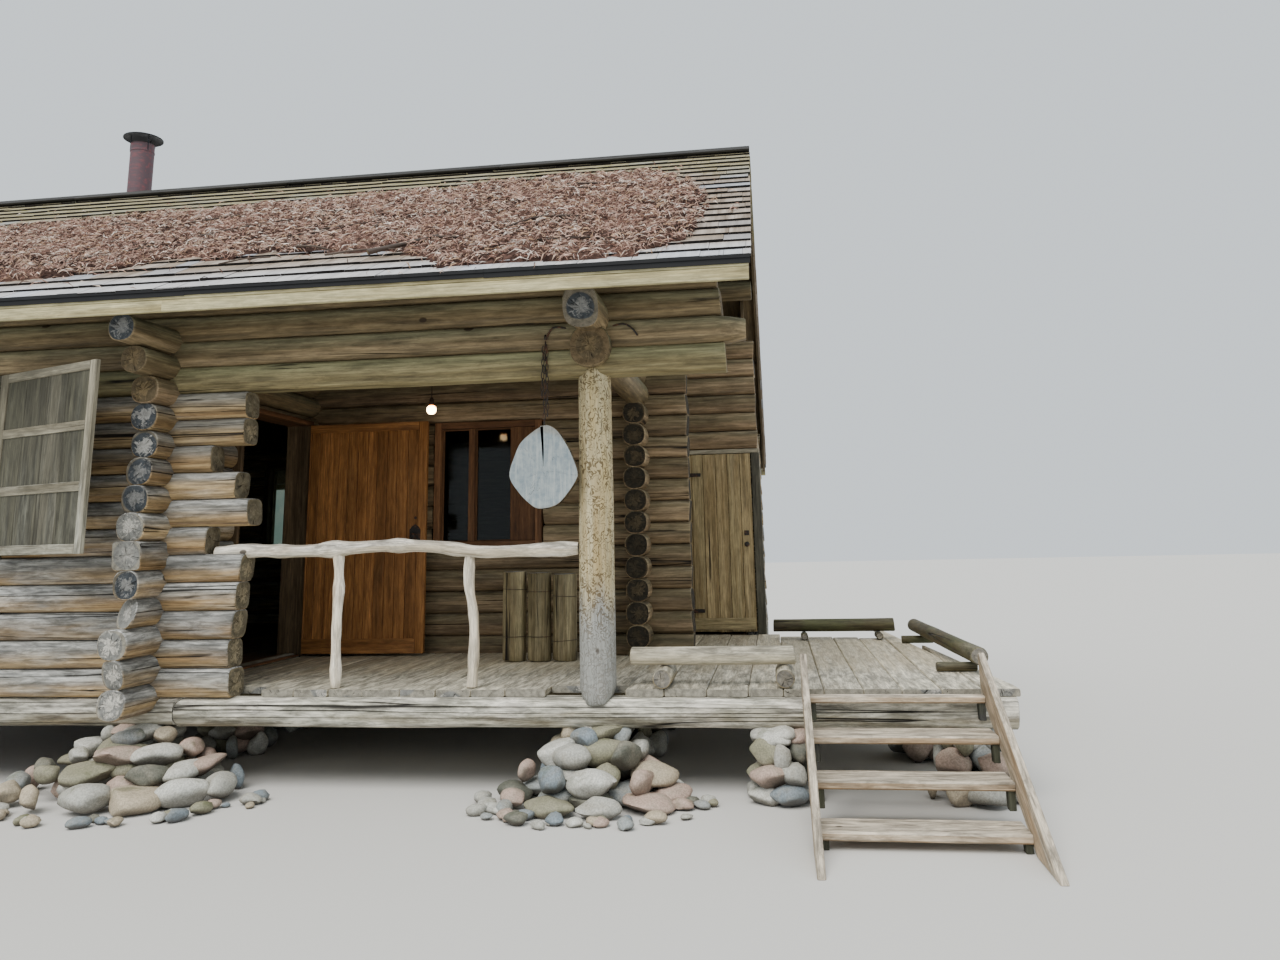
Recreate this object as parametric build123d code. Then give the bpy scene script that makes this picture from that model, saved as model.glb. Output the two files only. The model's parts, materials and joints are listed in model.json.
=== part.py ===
from build123d import *
import math
import os

# Log cabin with a recessed porch and an open deck.
# Millimetres, +Z up, +X to the right along the front, +Y towards the back.
# The origin lies at ground level, under the axis of the porch post.

# Heights
deck_top = 610
plank = 46
course = 182
courses_to_beam = 11
window_sill_courses = 5
window_head_courses = 12
front_courses = 16
rear_courses = 12
back_wall_courses = 14
store_courses = 16

# Logs
log_diameter = 200
seam = 0.4
notch_gap = 0.3
side_facets = 5
post_diameter = 224
post_top_diameter = 196

# Plan, all measured to the middle of the log walls
left_wall_x = -6430
doorway_wall_x = -3000
right_wall_x = 0
store_right_x = 900
front_wall_y = 0
back_wall_y = 2110
store_front_y = 3520

# Log ends that run past the corners
plain_stub = 330
inner_stub = 150
back_wall_stub = 440
doorway_side_stub = 610
doorway_side_changes = (0, -20, 0, 10, 30, -230, 60, -40, -230, 0, 0)
doorway_front_stub = 310
doorway_front_changes = (100, 103, 133, 21, 58, 73, 58, 28, 13, -24, 0, 20)
tie_front_stubs = (190, 480)
doorway_tie_stubs = (465, 610)
beam_right_ends = (880, 1015, 862, 840, 820)

# Openings in the walls
window_left_x = -5280
window_width = 1126
porch_window_left_x = -1808
porch_window_width = 963
jamb = 40
entry_to_back_wall = 262
entry_width = 1080
entry_head_z = 2566
store_door_left_x = 190
store_door_width = 740
store_door_head_z = 2340

# Roof
pitch = 33
ridge_y = 2200
roof_boards = 45
shakes = 68
front_overhang = 660
rear_overhang = 600
side_overhang = 1050
shake_lip = 40
shake_side_lip = 20
shake_row = 365
shake_relief = 33
fascia_height = 105
fascia_thickness = 25
purlin_diameter = 200

# Fittings
fit = 0.3
clear = 6
leaf_gap = 6
leaf_recess = 2
panel_depth = 9
pin_to_jamb = 13.5
strap_length = 240
strap_thickness = 8
strap_height = 36
knob_reach = 52
doorway_jamb_width = 228
store_jamb_width = 82
store_jamb_depth = 80
door_thickness = 42
threshold = 14
shutter_width = 1092
shutter_height = 1232
shutter_thickness = 32
shutter_open_angle = 159
window_frame_out = 108
hinge_pin_radius = 7
hinge_wall = 5
hinge_length = 46

# Deck and stairs
deck_right_front_x = 2510
deck_right_back_x = 2250
deck_front_y = -50
deck_back_left_y = 3230
deck_back_right_y = 2960
stair_left_x = 1283
stair_width = 994
stair_rise = 167
stair_going = 288
stair_treads = 4
tread_thickness = 45
tread_depth = 250
string_thickness = 40
string_above = 150
string_below = 75

# Values that follow from the sizes above
log_radius = log_diameter / 2
log_face = log_radius * math.cos(math.asin(course / log_diameter) / side_facets)
sill_top = deck_top - plank
sill_bottom = sill_top - course
slope = math.tan(math.radians(pitch))
cos_pitch = math.cos(math.radians(pitch))
flat_half = math.sqrt(log_radius ** 2 - (course / 2) ** 2)
front_plate_top = sill_top + front_courses * course
rear_plate_top = sill_top + rear_courses * course
roof_gap = 0.5
ridge_under = front_plate_top + roof_gap + slope * (ridge_y - front_wall_y + flat_half)
rear_wall_y = ridge_y + (ridge_under - roof_gap - rear_plate_top) / slope - flat_half
front_eave_y = front_wall_y - flat_half - front_overhang
rear_eave_y = rear_wall_y + flat_half + rear_overhang
roof_left_x = left_wall_x - side_overhang
roof_right_x = right_wall_x + side_overhang
window_sill_z = sill_top + window_sill_courses * course
window_head_z = sill_top + window_head_courses * course
porch_window_head_z = sill_top + courses_to_beam * course
beam_bottom = sill_top + courses_to_beam * course
boards_vertical = roof_boards / cos_pitch
shakes_vertical = shakes / cos_pitch


def box(x0, x1, y0, y1, z0, z1):
    """A plain box between two corners."""
    return Pos((x0 + x1) / 2, (y0 + y1) / 2, (z0 + z1) / 2) * Box(x1 - x0, y1 - y0, z1 - z0)


def rod(x, y, z0, z1, radius):
    """An upright round bar."""
    return Pos(x, y, (z0 + z1) / 2) * Cylinder(radius, z1 - z0)


def rod_x(x0, x1, y, z, radius):
    """A round bar along X."""
    return Pos((x0 + x1) / 2, y, z) * Rot(0, 90, 0) * Cylinder(radius, x1 - x0)


def rod_y(x, y0, y1, z, radius):
    """A round bar along Y."""
    return Pos(x, (y0 + y1) / 2, z) * Rot(90, 0, 0) * Cylinder(radius, y1 - y0)


def prism_x(points, x0, x1):
    """A straight solid along X with its outline given in the YZ plane."""
    outline = Wire.make_polygon([Vector(x0, y, z) for y, z in points], close=True)
    return Solid.extrude(Face(outline), Vector(x1 - x0, 0, 0))


def prism_y(points, y0, y1):
    """A straight solid along Y with its outline given in the XZ plane."""
    outline = Wire.make_polygon([Vector(x, y0, z) for x, z in points], close=True)
    return Solid.extrude(Face(outline), Vector(0, y1 - y0, 0))


def prism_z(points, z0, z1):
    """A straight upright solid with its outline given in plan."""
    outline = Wire.make_polygon([Vector(x, y, z0) for x, y in points], close=True)
    return Solid.extrude(Face(outline), Vector(0, 0, z1 - z0))


def roof_under(y):
    """Height of the underside of the roof boards above the point y."""
    return ridge_under - slope * abs(y - ridge_y)


def log_section(grow=0.0):
    """Outline of a peeled log: flat where it beds, with drawknife facets on both sides."""
    radius = log_radius + grow
    half = (course - seam) / 2 + grow
    start = math.asin(half / radius)
    step = 2 * start / side_facets
    angles = [start - step * n for n in range(side_facets + 1)]
    right = [(radius * math.cos(a), radius * math.sin(a)) for a in angles]
    left = [(-across, -up) for across, up in right]
    return right + left


class Log:
    """One log of a wall. axis is x or y, at is the other plan coordinate."""

    def __init__(self, axis, at, middle, start, end):
        self.axis = axis
        self.at = at
        self.middle = middle
        self.start = start
        self.end = end

    def solid(self, grow=0.0):
        section = log_section(grow)
        if self.axis == "x":
            points = [Vector(self.start, self.at + a, self.middle + u) for a, u in section]
            along = Vector(self.end - self.start, 0, 0)
        else:
            points = [Vector(self.at + a, self.start, self.middle + u) for a, u in section]
            along = Vector(0, self.end - self.start, 0)
        return Solid.extrude(Face(Wire.make_polygon(points, close=True)), along)

    def crosses_over(self, other):
        """True where this log beds on the other, half a course lower."""
        if other.axis == self.axis:
            return False
        if abs(self.middle - course / 2 - other.middle) > 1:
            return False
        inside = self.start - log_radius < other.at < self.end + log_radius
        return inside and other.start - log_radius < self.at < other.end + log_radius


def x_middle(number):
    """Height of the middle of a log that runs along X, counted from the floor."""
    return sill_top + (number + 0.5) * course


def y_middle(number):
    """Height of the middle of a log that runs along Y, half a course lower."""
    return sill_top + number * course


def x_run(at, first, last, start, end, changes=None):
    """Logs along X, one for each course from first up to but not including last."""
    logs = []
    for number in range(first, last):
        extra = changes[number] if changes else 0
        logs.append(Log("x", at, x_middle(number), start, end + extra))
    return logs


def y_run(at, first, last, start, end, changes=None):
    """Logs along Y, one for each course from first up to but not including last."""
    logs = []
    for number in range(first, last):
        extra = changes[number] if changes else 0
        logs.append(Log("y", at, y_middle(number), start - extra, end))
    return logs


# Where the walls end
left_end = left_wall_x - plain_stub
rear_end = rear_wall_y + plain_stub
doorway_side_end = doorway_wall_x + doorway_side_stub
doorway_front_end = front_wall_y - doorway_front_stub
left_front_end = front_wall_y - plain_stub
window_right_x = window_left_x + window_width
porch_window_right_x = porch_window_left_x + porch_window_width
entry_back_y = back_wall_y - entry_to_back_wall
entry_front_y = entry_back_y - entry_width
store_door_right_x = store_door_left_x + store_door_width
right_front_end = back_wall_y - plain_stub
store_right_end = store_right_x + log_radius + 12

# Every log of the walls, listed by the node that it belongs to
walls = {}

walls["sill_logs"] = [
    Log("x", front_wall_y, x_middle(-1), left_end, deck_right_front_x - 20),
    Log("x", 1055, x_middle(-1), left_wall_x + 110, deck_right_front_x - 90),
    Log("x", back_wall_y, x_middle(-1), left_wall_x + 110, deck_right_front_x - 160),
    Log("x", 3060, x_middle(-1), left_wall_x + 110, deck_right_back_x - 60),
    Log("x", 4300, x_middle(-1), left_wall_x + 110, store_right_x - 110),
    Log("x", rear_wall_y, x_middle(-1), left_end, store_right_end),
    Log("y", doorway_wall_x, y_middle(0), entry_front_y - jamb, entry_back_y + jamb),
]
walls["front_wall"] = x_run(
    front_wall_y, 0, window_sill_courses, left_end, doorway_side_end, doorway_side_changes)
walls["front_wall"] += x_run(
    front_wall_y, window_sill_courses, window_head_courses, left_end, window_left_x)
walls["front_wall"] += x_run(
    front_wall_y, window_sill_courses, courses_to_beam,
    window_right_x, doorway_side_end, doorway_side_changes)
walls["porch_beams"] = [
    Log("x", front_wall_y, x_middle(courses_to_beam), window_right_x, beam_right_ends[0])]
for number in range(1, front_courses - courses_to_beam):
    walls["porch_beams"].append(
        Log("x", front_wall_y, x_middle(courses_to_beam + number), left_end,
            beam_right_ends[number]))
walls["doorway_wall_front"] = y_run(
    doorway_wall_x, 0, courses_to_beam, doorway_front_end,
    entry_front_y - jamb - fit, doorway_front_changes)
walls["doorway_wall_rear"] = y_run(
    doorway_wall_x, 0, courses_to_beam, entry_back_y + jamb + fit, back_wall_y + inner_stub)
walls["doorway_wall_head"] = [
    Log("y", doorway_wall_x, y_middle(courses_to_beam), doorway_front_end - 20,
        back_wall_y + inner_stub)]
walls["porch_back_wall"] = x_run(
    back_wall_y, 0, window_sill_courses, doorway_wall_x - inner_stub,
    right_wall_x + back_wall_stub)
walls["porch_back_wall"] += x_run(
    back_wall_y, window_sill_courses, courses_to_beam, doorway_wall_x - inner_stub,
    porch_window_left_x)
walls["porch_back_wall"] += x_run(
    back_wall_y, window_sill_courses, courses_to_beam, porch_window_right_x,
    right_wall_x + back_wall_stub)
walls["porch_back_wall"] += x_run(
    back_wall_y, courses_to_beam, back_wall_courses, doorway_wall_x - inner_stub,
    right_wall_x + back_wall_stub)
walls["right_wall"] = y_run(
    right_wall_x, 0, courses_to_beam + 1, right_front_end, rear_end)
walls["left_wall"] = y_run(
    left_wall_x, 0, courses_to_beam + 1, left_front_end, rear_end)
walls["tie_logs"] = []
for number, (front_stub, doorway_stub) in enumerate(zip(tie_front_stubs, doorway_tie_stubs)):
    middle = y_middle(courses_to_beam + 1 + number)
    walls["tie_logs"] += [
        Log("y", left_wall_x, middle, front_wall_y - doorway_stub, rear_end),
        Log("y", doorway_wall_x, middle, front_wall_y - doorway_stub, rear_end),
        Log("y", right_wall_x, middle, front_wall_y - front_stub, rear_end),
    ]
walls["rear_wall"] = x_run(
    rear_wall_y, 0, window_sill_courses, left_end, store_right_end)
walls["rear_wall"] += x_run(
    rear_wall_y, window_sill_courses, rear_courses - 1, left_end, window_left_x)
walls["rear_wall"] += x_run(
    rear_wall_y, window_sill_courses, rear_courses - 1, window_right_x, store_right_end)
walls["rear_wall"] += x_run(
    rear_wall_y, rear_courses - 1, rear_courses, left_end, store_right_end)
store_head_course = math.ceil((store_door_head_z + jamb - sill_top) / course)
walls["store_front_wall"] = x_run(
    store_front_y, store_head_course, store_courses, right_wall_x - inner_stub,
    store_right_end)
walls["store_right_wall"] = y_run(
    store_right_x, 0, courses_to_beam + 1, store_front_y + store_jamb_depth + fit, rear_end)

every_log = [log for logs in walls.values() for log in logs]

# The space above the roof boards' underside, taken off every log that reaches it
cut_front_y = front_eave_y - log_diameter
cut_rear_y = rear_eave_y + log_diameter
cut_top = ridge_under + log_diameter
above_roof = prism_x(
    [(cut_front_y, roof_under(cut_front_y) - roof_gap / 2),
     (ridge_y, ridge_under - roof_gap / 2),
     (cut_rear_y, roof_under(cut_rear_y) - roof_gap / 2),
     (cut_rear_y, cut_top), (cut_front_y, cut_top)],
    roof_left_x, roof_right_x)


def reaches_roof(log):
    """True where some part of the log would stand through the roof."""
    if log.axis == "x":
        lowest = min(roof_under(log.at - log_radius), roof_under(log.at + log_radius))
    else:
        lowest = min(roof_under(log.start), roof_under(log.end))
    return log.middle + course / 2 > lowest - 1


def notched(log):
    """The log with a saddle cut in its underside over each log that it crosses. Of a log
    that the roof cuts in two, the stub outside the wall is not there."""
    solid = log.solid()
    for other in every_log:
        if log.crosses_over(other):
            solid = solid - other.solid(notch_gap)
    if reaches_roof(log):
        solid = max((solid - above_roof).solids(), key=lambda piece: piece.volume)
    return solid


parts = {}


def add(name, *solids):
    """Puts solids into a node."""
    parts.setdefault(name, []).extend(solids)


for name, logs in walls.items():
    for log in logs:
        add(name, notched(log))

# Right ends of the beams: the second runs to a blunt point, the third is cut on a slant
def trim_beam(number, low_x, turn_x, turn_share, high_x):
    """Cuts the end of a beam along two straight lines, from its lower to its upper edge."""
    low = x_middle(courses_to_beam + number) - course / 2
    turn_z = low + turn_share * course
    off = prism_y([(low_x, low - 5), (turn_x, turn_z), (high_x, low + course + 5),
                   (high_x + 500, low + course + 5), (high_x + 500, low - 5)],
                  front_wall_y - 200, front_wall_y + 200)
    parts["porch_beams"][number] = parts["porch_beams"][number] - off


trim_beam(1, beam_right_ends[1] - 6, beam_right_ends[1], 0.38, beam_right_ends[1] - 105)
trim_beam(2, beam_right_ends[2], beam_right_ends[2] - 8, 0.5, beam_right_ends[2] - 28)

# Butt ends of the tie logs over the post are thicker than the logs, the upper one hewn hollow
for number, (stub, wide, high) in enumerate(zip(tie_front_stubs, (138, 158), (138, 118))):
    middle = y_middle(courses_to_beam + 1 + number)
    butt_back = Plane((right_wall_x, front_wall_y - log_radius - 4, middle), z_dir=(0, -1, 0))
    butt_front = Plane((right_wall_x, front_wall_y - stub, middle), z_dir=(0, -1, 0))
    butt = loft([butt_back * Ellipse(log_face - 6, log_face - 12).face(),
                 butt_front * Ellipse(wide, high).face()])
    if number == 1:
        hollow_low = middle - high - 40
        butt = butt - prism_x([(front_wall_y - stub + 30, hollow_low),
                               (front_wall_y - stub + 95, middle - high + 78),
                               (front_wall_y - log_radius - 60, middle - high + 62),
                               (front_wall_y - log_radius - 30, hollow_low)],
                              right_wall_x - 200, right_wall_x + 200)
    place = 3 * number + 2
    log = parts["tie_logs"][place] - box(
        right_wall_x - 200, right_wall_x + 200, front_wall_y - stub - 50,
        front_wall_y - log_radius - 4, middle - 200, middle + 200)
    joined = log + butt
    parts["tie_logs"][place] = max(joined.solids(), key=lambda piece: piece.volume)

# The doorway: the log above it is cut flat over the frame, the log under it flat as a sill
entry_cut = box(doorway_wall_x - 200, doorway_wall_x + 200, entry_front_y - jamb - fit,
                entry_back_y + jamb + fit, deck_top, entry_head_z + jamb + fit)
for name in ("doorway_wall_head", "sill_logs"):
    parts[name][-1] = parts[name][-1] - entry_cut


# Stone piers under the sills
pier_top_size = 330
pier_foot_size = 620
pier_height = sill_bottom - fit


def heap_outline(width, depth, y, z):
    """A rectangle with cut corners, which bounds one level of a heap."""
    cut = min(width, depth) * 0.28
    a = width / 2
    d = depth / 2
    corners = [(-a + cut, -d), (a - cut, -d), (a, -d + cut), (a, d - cut),
               (a - cut, d), (-a + cut, d), (-a, d - cut), (-a, -d + cut)]
    return Face(Wire.make_polygon([Vector(px, py + y, z) for px, py in corners], close=True))


def pier(x, y, width=pier_foot_size, depth=pier_foot_size, forward=0):
    """A dry-laid heap of field stones, wider at the foot, which may spill forward."""
    foot = heap_outline(width, depth, -forward, 0)
    top = heap_outline(pier_top_size, pier_top_size, 0, pier_height)
    return Pos(x, y, 0) * loft([foot, top], ruled=True)


# Width, depth and forward spill of the heaps under the front sill, by the place they carry
front_heaps = {left_wall_x + 180: (1150, 900, 190), doorway_wall_x: (1650, 1100, 250),
               right_wall_x: (1150, 950, 200)}
for sill in walls["sill_logs"]:
    if sill.axis == "y":
        continue
    stations = [left_wall_x + 180, doorway_wall_x, right_wall_x]
    if sill.end > deck_right_back_x - 200:
        stations += [sill.end - 260]
    elif sill.end > store_right_x - 200:
        stations += [store_right_x - 260]
    for station in stations:
        heap = front_heaps.get(station, ()) if sill.at == front_wall_y else ()
        add("stone_piers", pier(station, sill.at, *heap))
stair_heap_x = stair_left_x - 175
add("stone_piers", pier(stair_heap_x, front_wall_y, 430, 560, 60))

# Porch post, a tapered trunk saddled over the sill and under the lowest beam
post_foot_z = sill_top - 42
post_top_z = beam_bottom + 54


def post_trunk(grow=0.0):
    """The trunk of the post before its saddles are cut."""
    trunk = Cone(post_diameter / 2 + grow, post_top_diameter / 2 + grow, post_top_z - post_foot_z)
    return Pos(right_wall_x, front_wall_y, (post_top_z + post_foot_z) / 2) * trunk


post = post_trunk()
post = post - walls["sill_logs"][0].solid(notch_gap) - walls["porch_beams"][0].solid(notch_gap)
for side in (-1, 1):
    chip = Box(160, 300, 70)
    post = post - Pos(right_wall_x + side * (post_diameter / 2 + 12), front_wall_y,
                      post_foot_z + 4) * Rot(0, side * 38, 0) * chip
post = max(post.solids(), key=lambda piece: piece.volume)
add("porch_post", post)

# Floors
wall_face = log_radius + 2
deck_outline = [
    (doorway_wall_x + wall_face, front_wall_y + wall_face),
    (doorway_side_end + 62, front_wall_y + wall_face),
    (doorway_side_end + 62, deck_front_y),
    (deck_right_front_x, deck_front_y),
    (deck_right_back_x, deck_back_right_y),
    (store_right_end + 90, deck_back_left_y),
    (store_right_end + 90, store_front_y - wall_face),
    (right_wall_x + wall_face, store_front_y - wall_face),
    (right_wall_x + wall_face, back_wall_y + wall_face),
    (right_wall_x + back_wall_stub + 4, back_wall_y + wall_face),
    (right_wall_x + back_wall_stub + 4, back_wall_y - wall_face),
    (right_wall_x + wall_face, back_wall_y - wall_face),
    (right_wall_x + wall_face, right_front_end - 4),
    (right_wall_x - wall_face, right_front_end - 4),
    (right_wall_x - wall_face, back_wall_y - wall_face),
    (doorway_wall_x + wall_face, back_wall_y - wall_face),
]
deck = prism_z(deck_outline, sill_top + fit, deck_top)
deck = deck - rod(right_wall_x, front_wall_y, 0, beam_bottom, post_diameter / 2 + 2)
add("deck", deck)

room_outline = [
    (left_wall_x + wall_face, front_wall_y + wall_face),
    (doorway_wall_x - wall_face, front_wall_y + wall_face),
    (doorway_wall_x - wall_face, back_wall_y + inner_stub + 4),
    (doorway_wall_x + wall_face, back_wall_y + inner_stub + 4),
    (doorway_wall_x + wall_face, back_wall_y + wall_face),
    (right_wall_x - wall_face, back_wall_y + wall_face),
    (right_wall_x - wall_face, rear_wall_y - wall_face),
    (left_wall_x + wall_face, rear_wall_y - wall_face),
]
room_floor = prism_z(room_outline, sill_top + fit, deck_top)
stub_room = box(doorway_wall_x - inner_stub - 4, doorway_wall_x, back_wall_y - wall_face,
                back_wall_y + wall_face, 0, deck_top + 1)
add("room_floor", room_floor - stub_room)
add("room_floor", box(right_wall_x + wall_face, store_right_x - wall_face,
                      store_front_y - log_radius + 20, rear_wall_y - wall_face,
                      sill_top + fit, deck_top))


def hinged_leaf(width, low, high, thickness, outside, heights, panels=()):
    """A leaf drawn shut along +X from its hinge pins at X 0, Y 0. outside is the sign of Y
    on the side that the pins stand. The boards lie back between the rails and stiles of the
    other side, where a panel gives the four distances from the leaf's corner."""
    face = -outside * (pin_to_jamb + leaf_recess)
    back = face - outside * thickness
    leaf = box(leaf_gap, leaf_gap + width, min(face, back), max(face, back), low, high)
    for x0, x1, z0, z1 in panels:
        leaf = leaf - box(leaf_gap + x0, leaf_gap + x1, back - panel_depth, back + panel_depth,
                          low + z0, low + z1)
    sleeve_radius = hinge_pin_radius + fit + hinge_wall
    for z in heights:
        sleeve = rod(0, 0, z - hinge_length / 2, z + hinge_length / 2, sleeve_radius)
        strap = box(0, strap_length, -strap_thickness / 2, strap_thickness / 2,
                    z - strap_height / 2, z + strap_height / 2)
        pad = box(leaf_gap + 8, strap_length, min(face, 0), max(face, 0),
                  z - strap_height / 2, z + strap_height / 2)
        bore = rod(0, 0, z - hinge_length, z + hinge_length, hinge_pin_radius + fit)
        leaf = leaf + (sleeve + strap + pad - bore)
    return leaf


def pintles(outside, heights, reach):
    """The fixed pins of a leaf, each with a plate under the sleeve that runs to the jamb."""
    jamb_face = -outside * (reach - fit)
    pins = []
    for z in heights:
        low = z - hinge_length / 2 - fit
        pin = rod(0, 0, low - 12, z + hinge_length / 2 + 4, hinge_pin_radius)
        plate = box(-26, 0, min(jamb_face, hinge_pin_radius * outside),
                    max(jamb_face, hinge_pin_radius * outside), low - 12, low)
        pins.append(pin + plate)
    return pins


knob = chamfer(Cylinder(25, 30).edges().filter_by(GeomType.CIRCLE), 7)

# Entry door, hinged on the rear jamb of the doorway and standing open
leaf_low = deck_top + threshold + clear
leaf_high = entry_head_z - clear
entry_hinge_heights = (leaf_low + 240, leaf_high - 240)
jamb_half = doorway_jamb_width / 2
entry_pin = Pos(doorway_wall_x + jamb_half + pin_to_jamb, entry_back_y, 0)
frame_left_x = doorway_wall_x - jamb_half
frame_right_x = doorway_wall_x + jamb_half
for y in (entry_front_y - jamb, entry_back_y):
    add("entry_door_frame", box(frame_left_x, frame_right_x, y, y + jamb,
                                deck_top + fit, entry_head_z - fit))
add("entry_door_frame", box(frame_left_x, frame_right_x, entry_front_y - jamb,
                            entry_back_y + jamb, entry_head_z, entry_head_z + jamb))
add("entry_door_frame", box(doorway_wall_x - log_face, doorway_wall_x + log_face,
                            entry_front_y + fit, entry_back_y - fit,
                            deck_top + fit, deck_top + threshold))
for pintle in pintles(1, entry_hinge_heights, pin_to_jamb):
    add("entry_door_frame", entry_pin * Rot(0, 0, -90) * pintle)
entry_leaf_width = entry_width - 2 * clear
entry_rail = 120
entry_panel = (12, entry_leaf_width - 75, entry_rail, leaf_high - leaf_low - entry_rail * 0.6)
entry_leaf = hinged_leaf(entry_leaf_width, leaf_low, leaf_high, door_thickness, 1,
                         entry_hinge_heights, [entry_panel])
knob_z = deck_top + 977
knob_x = leaf_gap + entry_leaf_width - 90
knob_front = -pin_to_jamb - leaf_recess + knob_reach
knob_back = -pin_to_jamb - leaf_recess - door_thickness - knob_reach
entry_leaf = entry_leaf + rod_y(knob_x, knob_back, knob_front, knob_z, 11)
for y in (knob_front, knob_back):
    entry_leaf = entry_leaf + Pos(knob_x, y, knob_z) * Rot(90, 0, 0) * knob
add("entry_door", entry_pin * entry_leaf)

# Store door, hinged on its left jamb and shut
store_jamb_face = store_front_y - log_radius - 4
store_low = deck_top + 22
store_high = store_door_head_z - clear
store_hinge_heights = (store_low + 200, store_high - 200)
store_pin = Pos(store_door_left_x, store_jamb_face - pin_to_jamb, 0)
store_jamb_right = store_door_right_x + store_jamb_width
store_jamb_back = store_front_y + store_jamb_depth
store_jamb_left = right_wall_x + log_face + fit
for x0, x1 in ((store_jamb_left, store_door_left_x), (store_door_right_x, store_jamb_right)):
    add("store_door_frame", box(x0, x1, store_jamb_face, store_jamb_back,
                                deck_top + fit, store_door_head_z - fit))
add("store_door_frame", box(store_jamb_left, store_jamb_right, store_jamb_face,
                            store_jamb_back, store_door_head_z, store_door_head_z + jamb))
for pintle in pintles(-1, store_hinge_heights, pin_to_jamb):
    add("store_door_frame", store_pin * pintle)
store_leaf = hinged_leaf(store_door_width - 2 * clear, store_low, store_high, door_thickness,
                         -1, store_hinge_heights)
store_knob_x = store_door_width - 70
store_knob_z = deck_top + 844
store_knob_y = pin_to_jamb + leaf_recess - knob_reach
store_leaf = store_leaf + rod_y(store_knob_x, store_knob_y, pin_to_jamb + leaf_recess + 5,
                                store_knob_z, 11)
store_leaf = store_leaf + Pos(store_knob_x, store_knob_y, store_knob_z) * Rot(90, 0, 0) * knob
add("store_door", store_pin * store_leaf)


# Windows
def window_frame(left, right, low, high, front, back, mullions, face=55):
    """A frame with upright bars between its panes."""
    frame = box(left + fit, right - fit, front, back, low + fit, high - fit)
    panes = len(mullions) + 1
    edges = [left + face]
    for middle in mullions:
        edges += [middle - face / 2, middle + face / 2]
    edges.append(right - face)
    for number in range(panes):
        frame = frame - box(edges[2 * number], edges[2 * number + 1], front - 1, back + 1,
                            low + face, high - face)
    return frame


def glass(left, right, low, high, at, mullions, face=55):
    """One pane of glass for each light of the window."""
    edges = [left + face]
    for middle in mullions:
        edges += [middle - face / 2, middle + face / 2]
    edges.append(right - face)
    panes = []
    for number in range(len(mullions) + 1):
        panes.append(box(edges[2 * number] + fit, edges[2 * number + 1] - fit, at - 2, at + 2,
                         low + face + fit, high - face - fit))
    return panes


window_middle_x = (window_left_x + window_right_x) / 2
front_frame = window_frame(
    window_left_x, window_right_x, window_sill_z, window_head_z,
    front_wall_y - window_frame_out, front_wall_y + 90, [window_middle_x])
add("rear_window_frame", window_frame(
    window_left_x, window_right_x, window_sill_z, sill_top + (rear_courses - 1) * course,
    rear_wall_y - 90, rear_wall_y + 108, [window_middle_x]))
porch_mullion_x = porch_window_left_x + 330
add("porch_window_frame", window_frame(
    porch_window_left_x, porch_window_right_x, window_sill_z, porch_window_head_z,
    back_wall_y - 108, back_wall_y + 90, [porch_mullion_x]))
add("window_glass", *glass(window_left_x, window_right_x, window_sill_z, window_head_z,
                           front_wall_y - 20, [window_middle_x]))
add("window_glass", *glass(window_left_x, window_right_x, window_sill_z,
                           sill_top + (rear_courses - 1) * course, rear_wall_y + 20,
                           [window_middle_x]))
add("window_glass", *glass(porch_window_left_x, porch_window_right_x, window_sill_z,
                           porch_window_head_z, back_wall_y - 20, [porch_mullion_x]))

# Shutter, hinged at the right of the front window and standing open
shutter_pin_out = pin_to_jamb + leaf_recess + shutter_thickness + clear
shutter_pin = Pos(window_right_x - leaf_gap, front_wall_y - window_frame_out - shutter_pin_out, 0)
shutter_middle_z = (window_sill_z + window_head_z) / 2
shutter_low = shutter_middle_z - shutter_height / 2
shutter_high = shutter_middle_z + shutter_height / 2
shutter_hinge_heights = (shutter_low + 180, shutter_high - 180)
add("front_window_frame", front_frame)
for pintle in pintles(1, shutter_hinge_heights, shutter_pin_out):
    add("front_window_frame", shutter_pin * Rot(0, 0, 180) * pintle)
shutter_stile = 95
shutter_rail = 62
shutter_pitch = (shutter_height - shutter_rail) / 3
shutter_panels = [(shutter_stile, shutter_width - shutter_stile * 0.7,
                   shutter_pitch * number + shutter_rail, shutter_pitch * (number + 1))
                  for number in range(3)]
shutter_leaf = hinged_leaf(shutter_width, shutter_low, shutter_high, shutter_thickness, 1,
                           shutter_hinge_heights, shutter_panels)
add("window_shutter", shutter_pin * Rot(0, 0, 180 + shutter_open_angle) * shutter_leaf)

# Roof
front_eave_under = roof_under(front_eave_y)
rear_eave_under = roof_under(rear_eave_y)
add("front_roof_boards", prism_x(
    [(front_eave_y, front_eave_under), (ridge_y - fit, roof_under(ridge_y - fit)),
     (ridge_y - fit, ridge_under + boards_vertical),
     (front_eave_y, front_eave_under + boards_vertical)],
    roof_left_x, roof_right_x))
rear_boards = prism_x(
    [(rear_eave_y, rear_eave_under), (ridge_y + fit, roof_under(ridge_y + fit)),
     (ridge_y + fit, ridge_under + boards_vertical),
     (rear_eave_y, rear_eave_under + boards_vertical)],
    roof_left_x, roof_right_x)
lip_front_y = front_eave_y - shake_lip
lip_rear_y = rear_eave_y + shake_lip


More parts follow.
